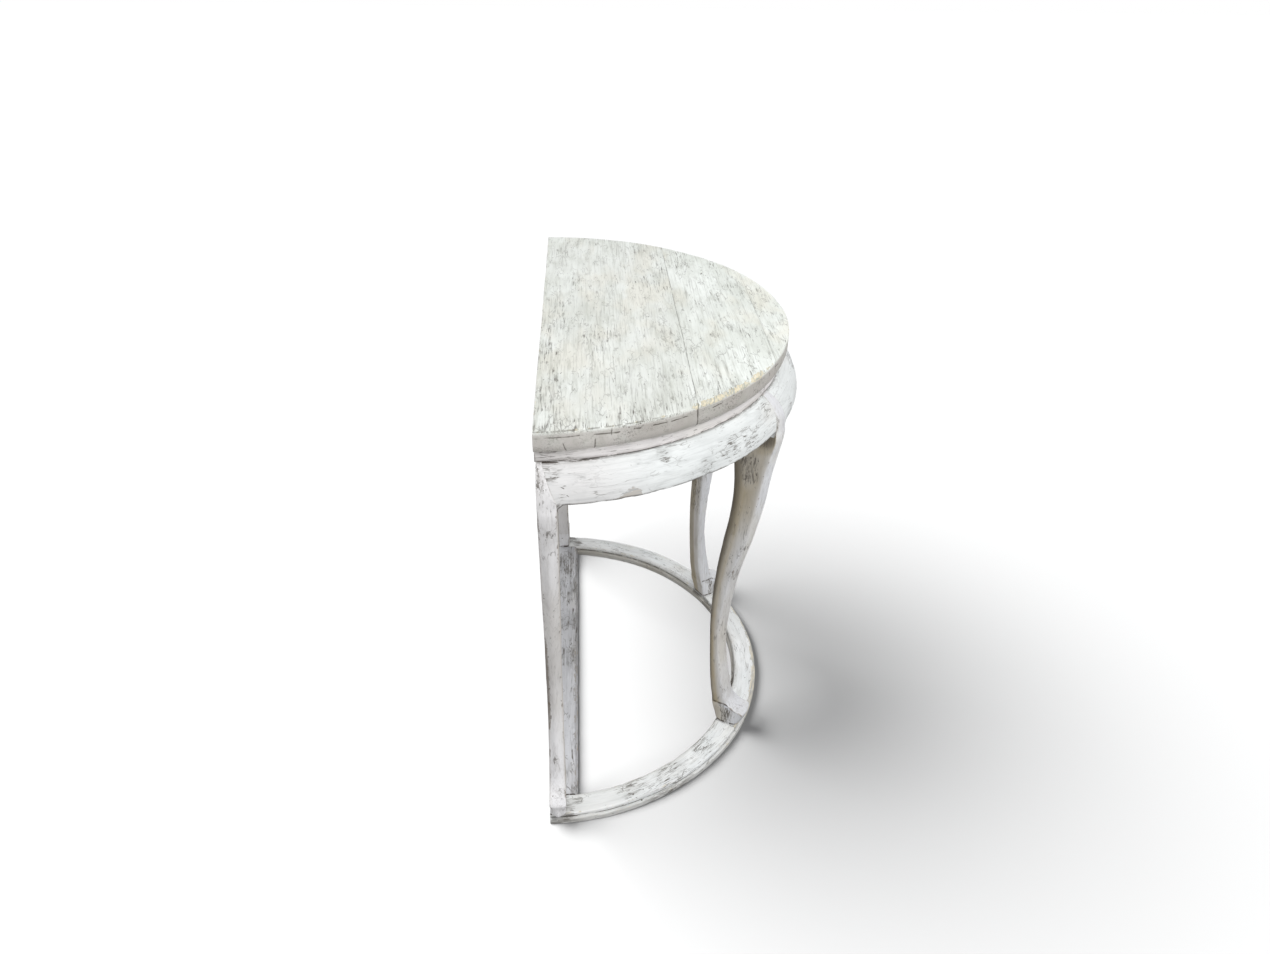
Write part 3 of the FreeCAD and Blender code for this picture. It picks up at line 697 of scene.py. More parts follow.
def top_layers(x, y, z, back):
    """Layers of a point of the plank that starts at a distance from the flat back."""
    r, angle = math.hypot(x, y), math.degrees(math.atan2(-y, x))
    rim = math.hypot(TOP_RADIUS - 0.8 - r, TABLE_HEIGHT - 0.8 - z)
    side = ease(842.0, 839.0, z) * ease(TOP_RADIUS - 12.0, TOP_RADIUS - 2.0, r)
    back_edge = -y - back + 4.0
    if back == 0.0:
        back_edge = math.hypot(-y - 0.5, TABLE_HEIGHT - 0.5 - z)
        if y > -1.0:
            side = ease(843.0, 840.0, z)
    seam = (0.5 if -y < SEAMS[1] - 9.0 else 0.25) * ease(1.2, 0.3, min(abs(-y - s) for s in SEAMS))
    dirt = max(seam, 0.7 * ease(2.2, 0.8, rim) * ease(146.0, 160.0, angle))
    # The top face is painted darker towards the flat back as painted shade; the edge is darker, more so towards
    # the left end.
    tone = side * (1.0 + 0.32 * ease(170.0, 158.0, angle)) + 0.2 * ease(330.0, 200.0, -y) * (1.0 - side)
    near_end = ease(146.0, 158.0, angle) * ease(64.0, 24.0, TOP_RADIUS - r)
    near_back = 0.7 * ease(50.0, 12.0, -y) * ease(0.0, -200.0, x)
    spot = 0.6 * max(near_end, near_back) * (1.0 - side)
    worn_band = ease(119.0, 128.0, angle) * ease(149.0, 146.0, angle)
    bald = worn_band * ease(17.0, 6.0, rim) * ease(838.0, 842.0, z)
    return max(0.0, min(rim, back_edge)), dirt, tone, spot, bald


def top_plank(node, back, front, back_radius, front_radius=0.35):
    """One plank of the top, between two distances from the flat back."""
    shape = top_shape()
    for y in (back + 1.2, back + 6.0, front - 1.2, front - 6.0):
        divide(shape, -y)
    cut_flat(shape, -back, True, back_radius, 3)
    if front < TOP_RADIUS:
        cut_flat(shape, -front, False, front_radius, 2)
    bmesh.ops.remove_doubles(shape, verts=shape.verts[:], dist=0.13)
    if back < BATTEN_HEAD_LENGTH:
        cut_slots(shape)
    shell = Shell()
    shape.verts.index_update()
    for vert in shape.verts:
        x, y, z = vert.co
        shell.point(vert.co, (x + 0.31 * back, y, z), *top_layers(x, y, z, back))
    shell.faces = [tuple(v.index for v in f.verts) for f in shape.faces]
    shape.free()
    piece(shell, node, top_paint, sharp=50.0)


top_plank("top_plank_back", 0.0, SEAMS[0] - SEAM_GAP, 1.6)
top_plank("top_plank_middle", SEAMS[0] + SEAM_GAP, SEAMS[1] - SEAM_GAP, 0.35)
top_plank("top_plank_front", SEAMS[1] + SEAM_GAP, TOP_RADIUS + 1.0, 0.35)

# Battens under the top

BATTEN_NECK = TOP_UNDER - 0.4
BATTEN_INSET = 0.3
BATTEN_OUTLINE = rounded([(-BATTEN_NECK_HALF, BATTEN_BOTTOM, 1.5, "arris"),
                          (BATTEN_NECK_HALF, BATTEN_BOTTOM, 1.5, "arris"),
                          (BATTEN_NECK_HALF, BATTEN_NECK, 0.0, "plain"),
                          (-BATTEN_NECK_HALF, BATTEN_NECK, 0.0, "plain")])


def batten(node, x):
    head = rounded([(a, z, 0.0, "plain") for a, z in dovetail(BATTEN_NECK, 0.0)])
    shell = Shell()
    for outline, length, setback, end, offset in (
            (BATTEN_OUTLINE, BATTEN_LENGTH, BATTEN_SETBACK, 1.2, 0.0),
            (head, BATTEN_HEAD_LENGTH - BATTEN_INSET, BATTEN_INSET, 0.3, 500.0)):
        swept(shell, outline, length, lambda j, a, b, s: Vector((x + a, -setback - s, b)),
              lambda a, b, s: (s + x + offset, a, b), (end, end), step=9.0)
    piece(shell, node, batten_timber)


batten("top_batten_right", BATTEN_X)
batten("top_batten_left", -BATTEN_X)

# Waist

WAIST_OUTLINE = rounded([(WAIST_INNER, APRON_TOP, 0.8, "plain"), (WAIST_RADIUS, APRON_TOP, 1.0, "groove"),
                         (WAIST_RADIUS, TOP_UNDER, 1.0, "groove"), (WAIST_INNER, TOP_UNDER, 0.8, "plain")], 4.0)
WAIST_SPOT_ANGLES = (2.0, 5.5, 174.5, 178.0)
WAIST_SPOT_HEIGHT = 799.0
RING_GAP = 0.02


def waist(node, start, end, offset):
    shell = Shell()
    ring_piece(shell, WAIST_OUTLINE, same_span(start, end), WAIST_RADIUS, offset, (0.8, 0.8),
               lambda a, b, s: 0.3, (0.6, 0.6))
    for angle in WAIST_SPOT_ANGLES:
        shell.mark(shell.spot, at(WAIST_RADIUS, angle, WAIST_SPOT_HEIGHT), 24.0, 1.1)
    piece(shell, node, waist_paint)


waist("waist_right", 0.1, FRONT_LEG_ANGLE - RING_GAP, 0.0)
waist("waist_front", FRONT_LEG_ANGLE + RING_GAP, OTHER_LEG_ANGLE - RING_GAP, 700.0)
waist("waist_left", OTHER_LEG_ANGLE + RING_GAP, 179.9, 1400.0)
back_board("waist_back", WAIST_DEPTH, APRON_TOP, TOP_UNDER, 1.0, 2100.0, 0.6, waist_paint)

# Aprons


def bulge(z):
    """Distance of the apron's outer face from the axis."""
    bow = APRON_RADIUS - APRON_BOW_CENTRE
    return APRON_BOW_CENTRE + math.sqrt(max(0.0, bow ** 2 - (z - APRON_BOTTOM) ** 2))


APRON_MEAN_RADIUS = 460.0
APRON_OUTLINE = rounded([(APRON_INNER, APRON_BOTTOM, 2.5, "arris"),
                         (APRON_RADIUS - 0.2, APRON_BOTTOM, 3.0, "arris")]
                        + [(bulge(APRON_BOTTOM + rise), APRON_BOTTOM + rise, 0.0, "plain")
                           for rise in (5.0, 10.0, 15.0, 20.0, 25.0, 30.0, 35.0, 40.0, 45.0, 50.0)]
                        + [(bulge(APRON_TOP), APRON_TOP, 1.4, "plain"),
                           (WAIST_INNER, APRON_TOP, 0.8, "plain")], 5.0)
# Broken paint on the aprons: angle, height and reach
APRON_SPOTS = ((25.4, 779.0, 18.0), (41.3, 764.0, 40.0), (47.0, 756.0, 30.0), (34.2, 748.0, 22.0),
               (2.6, 776.0, 26.0), (4.8, 748.0, 12.0), (96.0, 760.0, 40.0), (114.0, 742.0, 30.0),
               (76.0, 748.0, 30.0), (56.0, 776.0, 16.0))
APRON_BALD = ((17.5, 736.0, 25.0), (101.0, 733.0, 22.0))


def mitre(z, front):
    """Width of a knee from its middle to the slanting mitre of the apron."""
    top, bottom = (FRONT_MITRE_TOP, FRONT_LEG_HALF) if front else (BACK_MITRE_TOP, BACK_LEG_WIDTH)
    return top + (bottom - top) * clamp((APRON_TOP - z) / (APRON_TOP - APRON_BOTTOM))


def beside_leg(r, z, front):
    """Angle from the middle of a leg to the mitre."""
    return math.degrees(math.asin(mitre(z, front) / r))


def side_span(r, z):
    return beside_leg(r, z, False), FRONT_LEG_ANGLE - beside_leg(r, z, True)


def front_span(r, z):
    return FRONT_LEG_ANGLE + beside_leg(r, z, True), OTHER_LEG_ANGLE - beside_leg(r, z, True)


def bracket_dip(z, s, length):
    """Rounded inner corner where the apron runs down beside a leg."""
    gap = min(s, length - s)
    if gap >= BRACKET_REACH:
        return 0.0
    drop = 1.0 - math.sqrt(1.0 - (1.0 - gap / BRACKET_REACH) ** 2)
    return BRACKET_DROP * drop * ease(752.0, 734.0, z)


def apron_tone_and_shade(a, b, s):
    """Darker inner face, and painted shade on the outer face at its first end, by a leg, that pales away from
    it.
    """
    return 0.9 if a < APRON_INNER + 5.0 and b < APRON_TOP - 7.0 else 0.55 * ease(190.0, 40.0, s)


def apron_dirt(r, angle, z):
    """Dirt under the lower arris and under the waist."""
    below = 0.8 * ease(735.5, 732.5, z) * ease(464.0, 470.0, r)
    above = (0.45 + 0.5 * ease(16.0, 8.0, angle)) * ease(785.4, 786.6, z) * ease(443.5, 440.5, r)
    return max(below, above)


def apron(node, span, offset, mirror=False):
    shell = Shell()
    ring_piece(shell, APRON_OUTLINE, span, APRON_MEAN_RADIUS, offset, (0.35, 0.35), apron_tone_and_shade, (0.1, 0.15),
               bracket_dip)
    for values, places, strength in ((shell.spot, APRON_SPOTS, 0.9), (shell.bald, APRON_BALD, 1.9)):
        for angle, z, reach in places:
            shell.mark(values, at(bulge(z), angle, z), reach, strength)
    shell.soil_and_shade(apron_dirt)
    piece(shell, node, apron_paint, mirror=mirror)


apron("apron_right", side_span, 0.0)
apron("apron_left", side_span, 900.0, mirror=True)
apron("apron_front", front_span, 1800.0)
back_board("apron_back", BACK_APRON_DEPTH, APRON_BOTTOM, APRON_TOP, 1.8, 2700.0, 0.5, apron_paint)

# Legs

KNEE_ROOM = 0.15
KNEE_START = 655.0
# Clusters of dark flecks on the legs: distance from the axis, across, height and reach
FRONT_LEG_SPOTS = ((430.0, 21.0, 660.0, 26.0), (434.0, 21.0, 634.0, 24.0), (452.0, 21.0, 706.0, 20.0),
                   (468.0, 21.0, 745.0, 20.0), (440.0, 19.0, 470.0, 18.0), (428.0, 19.0, 400.0, 24.0))
BACK_LEG_SPOTS = ((466.0, -18.0, 680.0, 14.0), (402.0, -18.0, 640.0, 46.0), (402.0, -18.0, 560.0, 34.0),
                  (446.0, -20.0, 46.0, 24.0), (428.0, -10.0, 130.0, 20.0))


def leg_value(column, share):
    """Smooth curve through one column of the leg rows."""
    k = 0
    while k < len(LEG_ROWS) - 2 and share > LEG_ROWS[k + 1][0]:
        k += 1
    x0, x1 = LEG_ROWS[k][0], LEG_ROWS[k + 1][0]
    y0, y1 = LEG_ROWS[k][column], LEG_ROWS[k + 1][column]

    def slope(i):
        a, b = LEG_ROWS[max(0, i - 1)], LEG_ROWS[min(len(LEG_ROWS) - 1, i + 1)]
        return (b[column] - a[column]) / (b[0] - a[0])

    t, h = (share - x0) / (x1 - x0), x1 - x0
    return ((1 + 2 * t) * (1 - t) ** 2 * y0 + t * (1 - t) ** 2 * h * slope(k) + t * t * (3 - 2 * t) * y1
            + t * t * (t - 1) * h * slope(k + 1))


def leg_levels():
    """Heights of a leg's sections, close together in the foot and the knee."""
    foot = [STRETCHER_HEIGHT + 0.02 + 1.6 * k for k in range(50)]
    shin = [foot[-1] + 7.0 * k for k in range(1, 79)]
    knee = [KNEE_START + 4.0 * k for k in range(int((APRON_BOTTOM - KNEE_START) / 4.0) + 1)]
    mitred = [737.0, 745.0, 753.0, 761.0, 769.0, 777.0, 783.0, 786.2, APRON_TOP - 0.05]
    return foot + [z for z in shin if z < KNEE_START] + knee + mitred


def leg_section(z, front):
    """Inner and outer face, both sides, crown, and inner and outer rounding of a leg at a height."""
    share = clamp((z - STRETCHER_HEIGHT) / (APRON_BOTTOM - STRETCHER_HEIGHT))
    outer, inner = (TOP_RADIUS + LEG_SWING * leg_value(column, share) for column in (1, 2))
    crown = LEG_SWING * leg_value(3, share)
    if front:
        v1 = FRONT_LEG_HALF * leg_value(4, share)
        v0 = -v1
    else:
        crown = crown / 2.0 + 4.0 * ease(50.0, 24.0, z)
        outer += 5.0 * ease(46.0, 24.0, z)
        v0, v1 = -BACK_LEG_WIDTH * leg_value(5, share), -BACK_SETBACK * share
    outer += (bulge(APRON_BOTTOM) - KNEE_ROOM - outer) * ease(714.0, APRON_BOTTOM, z)
    if z > APRON_BOTTOM:
        inner, outer, crown = KNEE_INNER, bulge(z) - KNEE_ROOM, 0.3
        v0 = KNEE_ROOM - mitre(z, front)
        v1 = -v0 if front else v1
    knee = ease(712.0, APRON_BOTTOM, z)
    shaft = ease(62.0, 84.0, z) * ease(700.0, 560.0, z)
    r_out = (3.0 + 1.8 * shaft + 4.0 * ease(56.0, 34.0, z)) * (1.0 - knee) + 0.5 * knee
    r_in = (3.4 + (3.4 if front else 0.0) * shaft + 2.0 * ease(60.0, 40.0, z)) * (1.0 - knee) + 2.0 * knee
    return inner, outer, v0, v1, crown, r_in, r_out


def leg_loop(inner, outer, v0, v1, crown, r_in, r_out):
    """Section of a leg as (u, v, distance to the outer arris, part) points; part is 0 outer, 1 side, 2 inner."""
    loop = []

    def corner(cu, cv, radius, start, first, last):
        for k in range(6):
            a = math.radians(start + 18.0 * k)
            part = first + (last - first) * k / 5.0
            loop.append((cu + radius * math.cos(a), cv + radius * math.sin(a), part))

    def run(a, b, count, part, bow=0.0):
        for k in range(1, count):
            t = k / count
            u = a[0] + (b[0] - a[0]) * t + bow * 4.0 * t * (1.0 - t)
            loop.append((u, a[1] + (b[1] - a[1]) * t, part))

    corner(outer - r_out, v1 - r_out, r_out, 0.0, 0.0, 1.0)
    run((outer - r_out, v1), (inner + r_in, v1), 14, 1.0)
    corner(inner + r_in, v1 - r_in, r_in, 90.0, 1.0, 2.0)
    run((inner, v1 - r_in), (inner, v0 + r_in), 6, 2.0, -0.5)
    corner(inner + r_in, v0 + r_in, r_in, 180.0, 2.0, 1.0)
    run((inner + r_in, v0), (outer - r_out, v0), 14, 1.0)
    corner(outer - r_out, v0 + r_out, r_out, 270.0, 1.0, 0.0)
    run((outer, v0 + r_out), (outer, v1 - r_out), 8, 0.0, crown)
    return [(u, v, min(math.hypot(u - outer, v - side) for side in (v0, v1)), part) for u, v, part in loop]


def line_distance(u, z):
    """Distance in the side plane to the carved line of the toe."""
    spot, best = complex(u, z), 99.0
    for a, b in zip(TOE_LINE, TOE_LINE[1:]):
        a, b = complex(*a), complex(*b)
        t = clamp(((spot - a) * (b - a).conjugate()).real / abs(b - a) ** 2)
        best = min(best, abs(spot - a - (b - a) * t))
    return best


def line_height(u):
    """Height of the shoe's upper edge at a distance from the axis."""
    for (u0, z0), (u1, z1) in zip(TOE_LINE, TOE_LINE[1:]):
        if u <= u1:
            return z0 + (z1 - z0) * clamp((u - u0) / (u1 - u0))
    return TOE_LINE[-1][1]


def leg_tone_and_shade(front, z, inside, part, block, lit, shade):
    """Pale outer face with painted light and shade on a leg: sides painted darker inwards as painted shade, more
    painted shade in a front leg's inner corner and under the apron, a back leg's inner face painted lighter as
    painted light, and the lit side of a front leg kept pale as painted light.
    """
    on_side, even = ease(0.0, 1.0, part), ease(470.0, 620.0, z)
    if front:
        pale = 0.08 + 0.3 * ease(560.0, 300.0, z) * ease(70.0, 120.0, z)
        tone = even * (0.5 + 0.35 * ease(0.0, 0.2, inside) + 0.2 * inside) + (1.0 - even) * (0.12 + inside)
        inner_face_shading = 0.45 - 0.15 * even
    else:
        pale = 0.1 * ease(120.0, 220.0, z) + 0.24 * ease(180.0, 330.0, z) * ease(600.0, 500.0, z)
        tone = 0.6 + 0.6 * inside
        inner_face_shading = -0.6
    tone = (tone * (1.0 - block) + 0.7 * block * ease(0.3, 0.85, inside)) * shade * (1.0 - 0.85 * lit)
    tone = pale + (tone - pale) * on_side + inner_face_shading * ease(1.3, 1.9, part)
    if front:
        # Painted shade under the apron, and deeper painted shade towards the inside of the side, left off the
        # lit side.
        under = ease(676.0, 714.0, z) * ease(0.7, 0.15, inside) * ease(0.5, 1.0, part) * ease(1.2, 1.0, part)
        shaded = 0.95 * ease(0.35 + 0.15 * even, 0.95, inside) * ease(1.9, 1.3, part) * (1.0 - block)
        shaded *= 1.0 - 0.35 * ease(330.0, 150.0, z)
        tone += (shaded + 1.2 * under) * on_side * (1.0 - lit)
    return clamp(tone, 0.0, 2.0)


def leg_spots(front, z, inside, shoe, from_v0, to_v1):
    """Fleck spots and bald places of a leg, with the distances to its two sides."""
    spot = max(2.8 * shoe * ease(0.22, 0.4, inside) * ease(0.78, 0.6, inside),
               ease(0.75, 1.0, inside) * ease(640.0, 690.0, z),
               1.3 * ease(0.8, 1.0, inside) * ease(240.0, 330.0, z) * ease(560.0, 480.0, z))
    if front:
        return spot, 0.0
    rubbed = 2.4 * ease(8.0, 3.0, to_v1) * ease(190.0, 240.0, z) * ease(430.0, 380.0, z)
    spot = max(spot, 1.8 * ease(742.0, 760.0, z) * ease(3.0, 9.0, from_v0), rubbed * ease(0.4, 0.15, inside))
    return spot, 1.2 * ease(6.0, 2.0, to_v1) * ease(180.0, 230.0, z) * ease(440.0, 390.0, z)


def leg(node, front, angle, offset, shade, mirror=False):
    shell = Shell()
    rows = []
    for z in leg_levels():
        section = leg_section(z, front)
        inner, outer, v0, v1 = section[:4]
        middle = (v0 + v1) / 2.0
        hoof = 0.13 * ease(64.0, 36.0, z) + 0.05 * ease(27.0, 22.0, z)
        row = []
        for u, v, arris, part in leg_loop(*section):
            on_side = ease(0.0, 1.0, part)
            inside = clamp((outer - u) / (outer - inner))
            block = ease(-1.0, 1.0, line_height(u) - z) * ease(64.0, 61.0, z - 8.0 * on_side)
            # A front leg's side towards v0 counts as lit and keeps its toning low (painted light); grime in the
            # inner corners off the lit side also stands for painted shade, and the grime along the foot's bottom
            # is a painted contact shadow.
            lit = 1.0 if front and v < middle else 0.0
            dirt = max(0.5 * ease(1.05, 1.4, part) * ease(1.95, 1.6, part) * (1.0 - lit), ease(28.0, 25.0, z))
            if abs(part - 1.0) < 0.1:
                carve = ease(3.2, 0.4, line_distance(u, z))
                if front or v < -16.0:
                    v -= math.copysign(1.3 * carve + 0.5 * block, v - middle)
                dirt = max(dirt, carve)
            v -= (v - middle) * hoof * (2.0 * inside - 1.0) ** 2
            row.append(shell.point(turned(u, v, z, angle), (z + offset, u, v),
                                   arris + CHIP_REACH * ease(712.0, APRON_BOTTOM, z), dirt,
                                   leg_tone_and_shade(front, z, inside, part, block, lit, shade),
                                   *leg_spots(front, z, inside, block * on_side, v - v0, v1 - v)))
        rows.append(row)
    shell.tube(rows)
    for u, v, z, reach in FRONT_LEG_SPOTS if front else BACK_LEG_SPOTS:
        shell.mark(shell.spot, turned(u, v, z, angle), reach, 2.5 if front else 1.8)
    v0, v1 = (-FRONT_LEG_HALF, FRONT_LEG_HALF) if front else (-BACK_LEG_WIDTH, -BACK_SETBACK - 0.25)
    post = rounded([(POST_INNER, v0, 1.5, "arris"), (POST_OUTER, v0, 1.5, "plain"),
                    (POST_OUTER, v1, 1.5, "plain"), (POST_INNER, v1, 1.5, "arris")])
    swept(shell, post, TOP_UNDER - POST_BOTTOM, lambda j, a, b, s: turned(a, b, POST_BOTTOM + s, angle),
          lambda a, b, s: (POST_BOTTOM + s + offset, a, b), (0.5, 0.5), lambda a, b, s: 1.1 * shade, step=12.0)
    piece(shell, node, leg_paint if front else back_leg_paint, mirror=mirror)


# The fifth argument scales how strong the painted shade on each leg is.
leg("leg_front_right", True, FRONT_LEG_ANGLE, 0.0, 0.8)
leg("leg_front_left", True, FRONT_LEG_ANGLE, 1100.0, 1.0, mirror=True)
leg("leg_back_right", False, 0.0, 2200.0, 0.7)
leg("leg_back_left", False, 0.0, 3300.0, 0.8, mirror=True)

# Floor stretcher

STRETCHER_FOOT = STRETCHER_INNER - STRETCHER_LIP
# Inner side of the stretcher from the floor up, as (r, z, radius, kind) corners
MOULDING = [(STRETCHER_FOOT, 0.0, 1.2, "plain"), (STRETCHER_FOOT, 10.6, 1.8, "arris"),
            (STRETCHER_INNER + 1.0, 12.4, 0.0, "plain"), (STRETCHER_INNER + 2.4, 12.6, 0.0, "groove"),
            (STRETCHER_INNER + 2.4, 14.2, 0.0, "groove"), (STRETCHER_INNER, 14.6, 0.6, "plain"),
            (STRETCHER_INNER, STRETCHER_HEIGHT, 3.0, "arris")]
# Broken paint on the side pieces: angle, distance from the axis and reach
STRETCHER_SPOTS = ((4.0, 444.0, 26.0), (7.0, 424.0, 16.0), (22.0, 424.0, 42.0), (33.0, 438.0, 46.0),
                   (46.0, 420.0, 34.0))
# Broken paint on the back rail: place along and across, and reach
RAIL_SPOTS = ((330.0, -30.0, 70.0), (230.0, -20.0, 60.0), (110.0, -36.0, 50.0), (-20.0, -28.0, 44.0))


def ring_outline(half):
    """Outline of the stretcher from the corners of its inner half."""
    other = [(2.0 * STRETCHER_MIDDLE - r, z, radius, kind) for r, z, radius, kind in reversed(half)]
    return rounded(list(reversed(half + other)), 5.0)


FULL_RING = ring_outline(MOULDING)
LOWER_RING = ring_outline([(STRETCHER_FOOT, 0.0, 1.2, "plain"), (STRETCHER_FOOT, LAP_LEVEL, 0.0, "plain")])
UPPER_RING = ring_outline([(STRETCHER_FOOT + 0.6, LAP_LEVEL, 0.0, "plain")]
                          + [corner for corner in MOULDING if corner[1] > LAP_LEVEL])


def ring_tone_and_shade(a, b, s):
    """Painted shade on the lower tier, on the inner side and as a grey shadow along the inner arris; each piece
    is also a little darker towards its first end.
    """
    inner = ease(STRETCHER_INNER + 2.0, STRETCHER_INNER, a)
    arris_shadow = 0.35 * ease(STRETCHER_INNER + 10.0, STRETCHER_INNER + 3.0, a) * ease(15.0, 60.0, s)
    return max(0.5 * ease(16.0, 9.0, b), 1.15 * inner * ease(20.0, 14.0, b), arris_shadow, 0.16 * ease(240.0, 60.0, s))


def ring_part(shell, outline, start, end, offset, ends, joint_dirt):
    ring_piece(shell, outline, same_span(start, end), STRETCHER_MIDDLE, offset, ends, ring_tone_and_shade, joint_dirt)


def side_dirt(r, angle, z):
    """Dirt on the outside of a side piece: at the foot in two places, in the groove and at the back corner."""
    foot = ease(13.0, 10.0, z)
    return ease(447.0, 451.0, r) * max(
        foot * 0.6 * ease(9.0, 3.0, angle), foot * 0.5 * ease(22.0, 27.0, angle) * ease(40.0, 34.0, angle),
        ease(17.0, 15.0, z) * ease(11.8, 12.6, z) * ease(13.0, 6.0, angle),
        0.9 * ease(19.5, 20.5, z) * ease(5.0, 2.5, angle))


def front_dirt(r, angle, z):
    """Grime and painted shade on the inside of the front piece beside both feet, heavier at the left foot."""
    from_foot = min(abs(angle - FRONT_LEG_ANGLE), abs(OTHER_LEG_ANGLE - angle))
    inside = ease(STRETCHER_INNER + 3.0, STRETCHER_INNER + 1.0, r)
    return (0.9 if angle > 90.0 else 0.5) * inside * ease(30.0, 12.0, from_foot)


def stretcher_side(node, offset, mirror=False):
    shell = Shell()
    lap, lap_end = FRONT_LEG_ANGLE - LAP_HALF_ANGLE, FRONT_LEG_ANGLE + LAP_HALF_ANGLE
    ring_part(shell, FULL_RING, RING_GAP, lap - RING_GAP, offset, (1.2, 0.5), (0.0, 0.5))
    ring_part(shell, LOWER_RING, lap - 0.4, lap_end - RING_GAP, offset + 450.0, (0.1, 0.5), (0.0, 0.5))
    for angle, r, reach in STRETCHER_SPOTS:
        strength = 1.8 if angle < 10.0 else 1.2 if mirror else 0.5
        shell.mark(shell.spot, at(r, angle, STRETCHER_HEIGHT), reach, strength)
    shell.soil_and_shade(side_dirt)
    piece(shell, node, stretcher_paint, mirror=mirror)


def stretcher_front(node):
    shell = Shell()
    start, end = FRONT_LEG_ANGLE + LAP_HALF_ANGLE, OTHER_LEG_ANGLE - LAP_HALF_ANGLE
    ring_part(shell, FULL_RING, start + RING_GAP, end - RING_GAP, 1600.0, (0.5, 0.5), (0.5, 0.5))
    for first in (FRONT_LEG_ANGLE - LAP_HALF_ANGLE + RING_GAP, end - 0.4):
        ring_part(shell, UPPER_RING, first, first + 2.0 * LAP_HALF_ANGLE + 0.38, 2100.0 + first, (0.1, 0.1),
                  (0.3, 0.3))
    shell.soil_and_shade(front_dirt)
    for i, (x, y, _) in enumerate(shell.points):
        shell.bald[i] = 0.8 * ease(STRETCHER_OUTER - 8.0, STRETCHER_OUTER - 2.0, math.hypot(x, y))
    piece(shell, node, stretcher_paint)


def stretcher_back(node):
    """Straight rail with the moulding on its inner side, coped to the side pieces."""
    shift = STRETCHER_INNER + BACK_RAIL_WIDTH - STRETCHER_LIP
    outline = rounded([(-0.1, 0.0, 1.0, "plain"), (-0.1, STRETCHER_HEIGHT, 1.6, "arris")]
                      + [(r - shift, z, radius, kind) for r, z, radius, kind in reversed(MOULDING)], 6.0)
    reach = [math.sqrt((STRETCHER_INNER - 0.3) ** 2 - a ** 2) for a, _, _, _ in outline]
    length = 2.0 * STRETCHER_INNER
    shell = Shell()
    # Toning of the rail: even, darker towards its right end, and painted shade on its lower tier.
    swept(shell, outline, length, lambda j, a, b, s: Vector((reach[j] * (2.0 * s / length - 1.0), a, b)),
          lambda a, b, s: (s + 3000.0, a, b), (0.6, 0.6),
          lambda a, b, s: 0.3 + 0.14 * ease(150.0, 480.0, s) + 0.4 * ease(16.0, 9.0, b), (1.0, 1.0), 8.0)
    for x, y, size in RAIL_SPOTS:
        shell.mark(shell.spot, Vector((x, y, STRETCHER_HEIGHT)), size, 1.3)
    piece(shell, node, rail_paint)


stretcher_side("stretcher_right", 0.0)
stretcher_side("stretcher_left", 800.0, mirror=True)
stretcher_front("stretcher_front")
stretcher_back("stretcher_back")

# Floor, light and camera

FLOOR_HALF = 14.0
FLOOR_BOUNCE = 0.1
FLOOR_SHOWN = 0.3
FLOOR_GLOW = 0.045
WORLD_LIGHT = 0.56
CAMERA_PLACE = (-1.6466, 0.1598, 1.5074)
CAMERA_LENS = 26.933
YAW, PITCH, ROLL = 0.0601, 0.5536, -0.0175


def collection_of(name, members):
    group = bpy.data.collections.new(name)
    for member in members:
        group.objects.link(member)
    return group


def shader(tree, kind, level, strength=None):
    """New shader node of one grey level."""
    made = tree.nodes.new(kind)
    made.inputs["Color"].default_value = (level, level, level, 1.0)
    if strength is not None:
        made.inputs["Strength"].default_value = strength
    return made


def split_rays(tree, kinds, plain, shown, output):
    """Gives the two named kinds of ray one shader, and all other rays the plain one."""
    path, either, choose = (tree.nodes.new("ShaderNode" + kind) for kind in ("LightPath", "Math", "MixShader"))
    either.operation = "MAXIMUM"
    for kind, socket in zip(kinds, either.inputs):
        tree.links.new(path.outputs[kind], socket)
    for source, socket in zip((either, plain, shown), choose.inputs):
        tree.links.new(source.outputs[0], socket)
    tree.links.new(choose.outputs[0], tree.nodes.new(output).inputs["Surface"])


def make_floor():
    """Floor that the camera sees lighter than the table's underside does."""
    mesh = bpy.data.meshes.new("floor")
    work = bmesh.new()
    bmesh.ops.create_grid(work, x_segments=4, y_segments=4, size=FLOOR_HALF)
    work.to_mesh(mesh)
    work.free()
    made = add_object("floor", mesh)
    material = bpy.data.materials.new("floor_pale")
    material.use_nodes = True
    tree = material.node_tree
    tree.nodes.clear()
    both = tree.nodes.new("ShaderNodeAddShader")
    lit = shader(tree, "ShaderNodeBsdfDiffuse", FLOOR_SHOWN)
    glow = shader(tree, "ShaderNodeEmission", 1.0, FLOOR_GLOW)
    bounce = shader(tree, "ShaderNodeBsdfDiffuse", FLOOR_BOUNCE)
    for source, socket in zip((lit, glow), both.inputs):
        tree.links.new(source.outputs[0], socket)
    split_rays(tree, ("Is Camera Ray", "Is Glossy Ray"), bounce, both, "ShaderNodeOutputMaterial")
    mesh.materials.append(material)
    return made


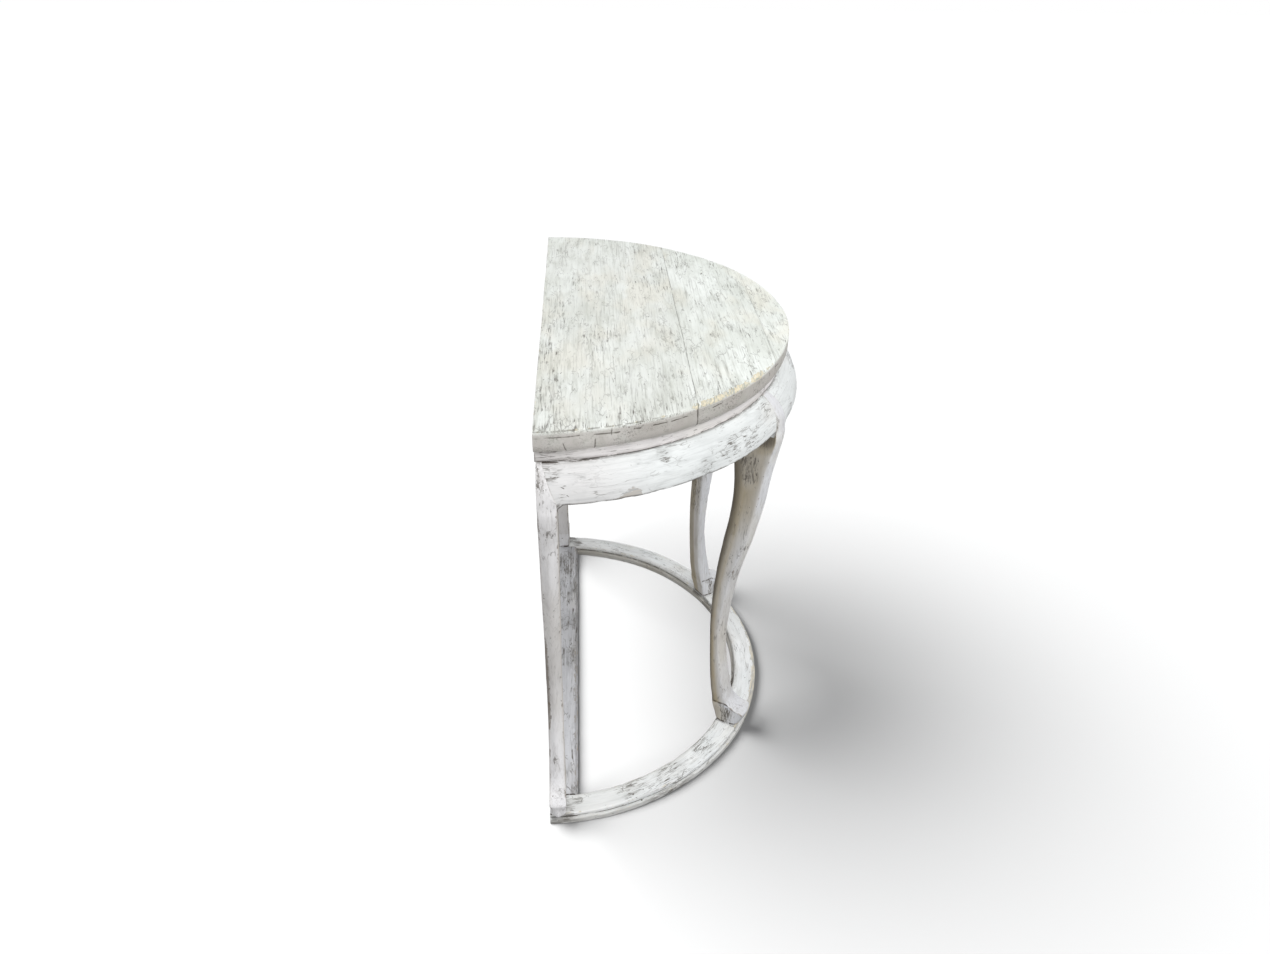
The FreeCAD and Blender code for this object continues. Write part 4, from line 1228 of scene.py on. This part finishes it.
def make_world():
    """White surroundings for the camera, and a dimmer, slightly cool light for the table."""
    world = bpy.data.worlds.new("studio")
    bpy.context.scene.world = world
    world.use_nodes = True
    tree = world.node_tree
    tree.nodes.clear()
    light = shader(tree, "ShaderNodeBackground", 1.0, WORLD_LIGHT)
    light.inputs["Color"].default_value = (0.97, 0.98, 1.0, 1.0)
    split_rays(tree, ("Is Camera Ray", "Is Transmission Ray"), light,
               shader(tree, "ShaderNodeBackground", 1.0, 1.0), "ShaderNodeOutputWorld")


def lamp(name, light, energy, ahead, receivers):
    """Lamp that lights only the given group."""
    light.energy = energy
    made = add_object(name, light)
    made.rotation_euler = Vector(ahead).to_track_quat("-Z", "Y").to_euler()
    made.light_linking.receiver_collection = receivers
    return made


def soft_disc(name, place, target, size, power, receivers):
    """Round soft light."""
    light = bpy.data.lights.new(name, "AREA")
    light.shape = "DISK"
    light.size = size
    lamp(name, light, power, Vector(target) - Vector(place), receivers).location = place


def soft_sun(name, toward, angle, strength, receivers):
    """Even light from far away, with a wide soft shadow."""
    light = bpy.data.lights.new(name, "SUN")
    light.angle = math.radians(angle)
    lamp(name, light, strength, -Vector(toward), receivers)


def make_camera():
    ahead = Vector((math.cos(YAW) * math.cos(PITCH), -math.sin(YAW) * math.cos(PITCH), -math.sin(PITCH)))
    right = ahead.cross(Vector((0.0, 0.0, 1.0))).normalized()
    down = ahead.cross(right)
    right_rolled = right * math.cos(ROLL) + down * math.sin(ROLL)
    down_rolled = down * math.cos(ROLL) - right * math.sin(ROLL)
    lens = bpy.data.cameras.new("camera")
    lens.lens = CAMERA_LENS
    lens.sensor_width = 36.0
    lens.sensor_fit = "HORIZONTAL"
    camera = add_object("camera", lens)
    axes = Matrix((right_rolled, -down_rolled, -ahead)).transposed()
    camera.matrix_world = Matrix.Translation(CAMERA_PLACE) @ axes.to_4x4()
    bpy.context.scene.camera = camera


table_group = collection_of("table_group", pieces)
floor_group = collection_of("floor_group", [make_floor()])
make_world()
soft_disc("front_light", (-1.4, -1.3, 3.3), (0.0, 0.0, 0.5), 1.8, 47.0, table_group)
soft_disc("end_light", (-2.8, -0.7, 1.5), (0.0, 0.0, 0.4), 1.6, 19.0, table_group)
soft_disc("back_light", (1.6, 1.8, 2.6), (0.0, 0.0, 0.5), 1.6, 19.0, table_group)
soft_sun("floor_light", (0.16, 0.67, 1.0), 46.0, 10.6, floor_group)
make_camera()
bpy.context.scene.view_settings.view_transform = "Standard"

bpy.context.view_layer.update()
